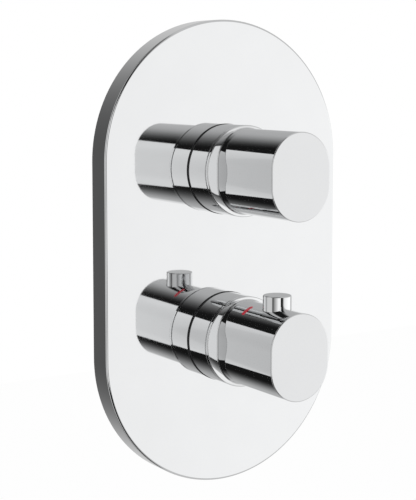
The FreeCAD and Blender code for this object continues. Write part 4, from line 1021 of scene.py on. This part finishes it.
# Where each lamp stands, and its power in watts.
LAMP_SIZE = 0.8
LAMPS = {"key_lamp": ((-0.6, -1.0, 1.0), 9.0), "fill_lamp": ((1.0, -0.7, 0.6), 5.0),
         "rear_lamp": ((0.5, 1.2, 0.9), 8.0)}

# Where each part of the studio fades in, from nothing to full. Turn is the sine of the angle to the
# right of the wall's normal and rise is height over level distance.
FRONT_HALF = (-0.15, 0.15)
LOW_BAND = (0.50, 0.40)
HIGH_SKY_TURN = (-0.35, 0.40)
LOW_SKY_TURN = (0.10, 0.40)
SKY_LIGHT, SKY_DARK = 0.69, 0.014
SOFTBOX_TURN, SOFTBOX_FOOT, SOFTBOX_TOP = (0.12, 0.46), (-0.50, -0.38), (0.16, 0.06)
SOFTBOX_LIGHT, SOFTBOX_GAIN = 0.94, 0.475
WINDOW_TURN, WINDOW_FOOT, WINDOW_TOP = (-0.13, -0.17), (-0.455, -0.445), (0.435, 0.425)
WINDOW_START, WINDOW_RUN, WINDOW_BEND, WINDOW_LIGHT, WINDOW_MOST = -0.95, 0.6, 0.65, 1.27, 1.2
PANE_TURN, PANE_LIGHT = (-0.562, -0.545), 0.09
SCREEN_TURN, SCREEN_LIGHT = (-0.95, -0.99), 0.75
BACK_RIGHT_TURN, BACK_RIGHT_LIGHT = (-0.65, 0.5), 0.58
BACK_LEFT_TURN, BACK_LEFT_LIGHT = (-0.72, -0.85), 0.7
BACK_DARK = 0.075


def make_camera():
    bpy.ops.object.camera_add(location=CAMERA_AT)
    camera = bpy.context.object
    ahead = Vector((math.sin(CAMERA_TURN) * math.cos(CAMERA_DIP),
                    math.cos(CAMERA_TURN) * math.cos(CAMERA_DIP), -math.sin(CAMERA_DIP)))
    camera.rotation_euler = ahead.to_track_quat("-Z", "Y").to_euler()
    camera.data.sensor_width = SENSOR
    camera.data.lens = FOCAL_PIXELS / IMAGE_HEIGHT * SENSOR
    camera.data.shift_y = -AXIS_RISE / IMAGE_HEIGHT
    camera.data.clip_start = 10 * MM
    bpy.context.scene.camera = camera


def studio(tree, x, y, z):
    """Brightness that polished metal sees in a direction: sky, softbox, window and what is behind."""
    flat = (x * x + y * y).maths("SQRT")
    rise = z / flat
    turn = x / flat
    front = tree.between(-y, *FRONT_HALF)
    low = tree.between(rise.maths("ABSOLUTE"), *LOW_BAND)
    sky = tree.between(turn, *HIGH_SKY_TURN) * (1 - low) + tree.between(turn, *LOW_SKY_TURN) * low
    softbox = (tree.between(turn, *SOFTBOX_TURN) * tree.between(rise, *SOFTBOX_FOOT)
               * tree.between(rise, *SOFTBOX_TOP))
    key = ((sky * SKY_LIGHT + SKY_DARK) * (1 - softbox)
           + softbox * (turn * SOFTBOX_GAIN + SOFTBOX_LIGHT))
    window = (tree.between(rise, *WINDOW_FOOT) * tree.between(rise, *WINDOW_TOP)
              * tree.between(turn, *WINDOW_TURN))
    ramp = ((turn - WINDOW_START) / WINDOW_RUN).clamped().maths("POWER", WINDOW_BEND)
    pane = tree.between(turn, *PANE_TURN) * PANE_LIGHT
    screen = tree.between(turn, *SCREEN_TURN) * SCREEN_LIGHT
    view = (ramp * WINDOW_LIGHT + pane).maths("MINIMUM", WINDOW_MOST) + screen
    ahead = key * (1 - window) + window * view
    behind = (tree.between(turn, *BACK_RIGHT_TURN) * BACK_RIGHT_LIGHT
              + tree.between(turn, *BACK_LEFT_TURN) * BACK_LEFT_LIGHT + BACK_DARK)
    return ahead * front + behind * (1 - front)


def make_world():
    """White where the camera looks past the valve, the studio in its mirrors, even light elsewhere."""
    world = bpy.context.scene.world or bpy.data.worlds.new("studio")
    bpy.context.scene.world = world
    tree = Tree(world)
    seen = studio(tree, *tree.parts(tree.node("ShaderNodeTexCoord", output="Generated")))
    camera, glossy, through = tree.rays("Camera", "Glossy", "Transmission")
    direct = (camera + through).clamped()
    strength = direct + (1 - direct) * (glossy * seen + (1 - glossy) * ROOM_LIGHT)
    background = tree.node("ShaderNodeBackground", values={"Color": WHITE, "Strength": strength})
    tree.node("ShaderNodeOutputWorld", values={"Surface": background})


def make_lamp(name, place, power):
    """Square lamp that points at the valve and isn't mirrored in it."""
    bpy.ops.object.light_add(type="AREA", location=place)
    lamp = bpy.context.object
    lamp.name = name
    lamp.rotation_euler = (-Vector(place)).to_track_quat("-Z", "Y").to_euler()
    lamp.data.size = LAMP_SIZE
    lamp.data.energy = power
    lamp.visible_glossy = False


def make_floor():
    """Pale floor: near white to the camera, matt to other rays, and in mirrors a glow painted with the
    studio's sky, softbox and window.
    """
    floor = started("plane", "pale_floor", size=FLOOR_SIZE, location=(0, 0, FLOOR_LEVEL))
    settle(floor)
    material = bpy.data.materials.new("pale_floor")
    tree = Tree(material)
    camera, glossy = tree.rays("Camera", "Glossy")
    x, y, _ = tree.parts(tree.object_place())
    seen = studio(tree, x, y, tree.number(FLOOR_LEVEL))
    matt = tree.node("ShaderNodeBsdfDiffuse", values={"Color": FLOOR_GREY})
    white = tree.node("ShaderNodeEmission", values={"Color": WHITE, "Strength": 1.0})
    # Painted light: on mirrored rays the floor glows with the studio's sky, softbox and window, laid out
    # by place on the floor.
    mirrored = tree.node("ShaderNodeEmission", values={"Color": WHITE, "Strength": seen})
    plain = tree.node("ShaderNodeMixShader", values={0: camera * FLOOR_WHITE, 1: matt, 2: white})
    both = tree.node("ShaderNodeMixShader", values={0: glossy, 1: plain, 2: mirrored})
    tree.node("ShaderNodeOutputMaterial", values={"Surface": both})
    paint(floor, material)


make_camera()
make_world()
make_floor()
for lamp_name, (place, power) in LAMPS.items():
    make_lamp(lamp_name, place, power)
bpy.context.scene.view_settings.view_transform = "Standard"
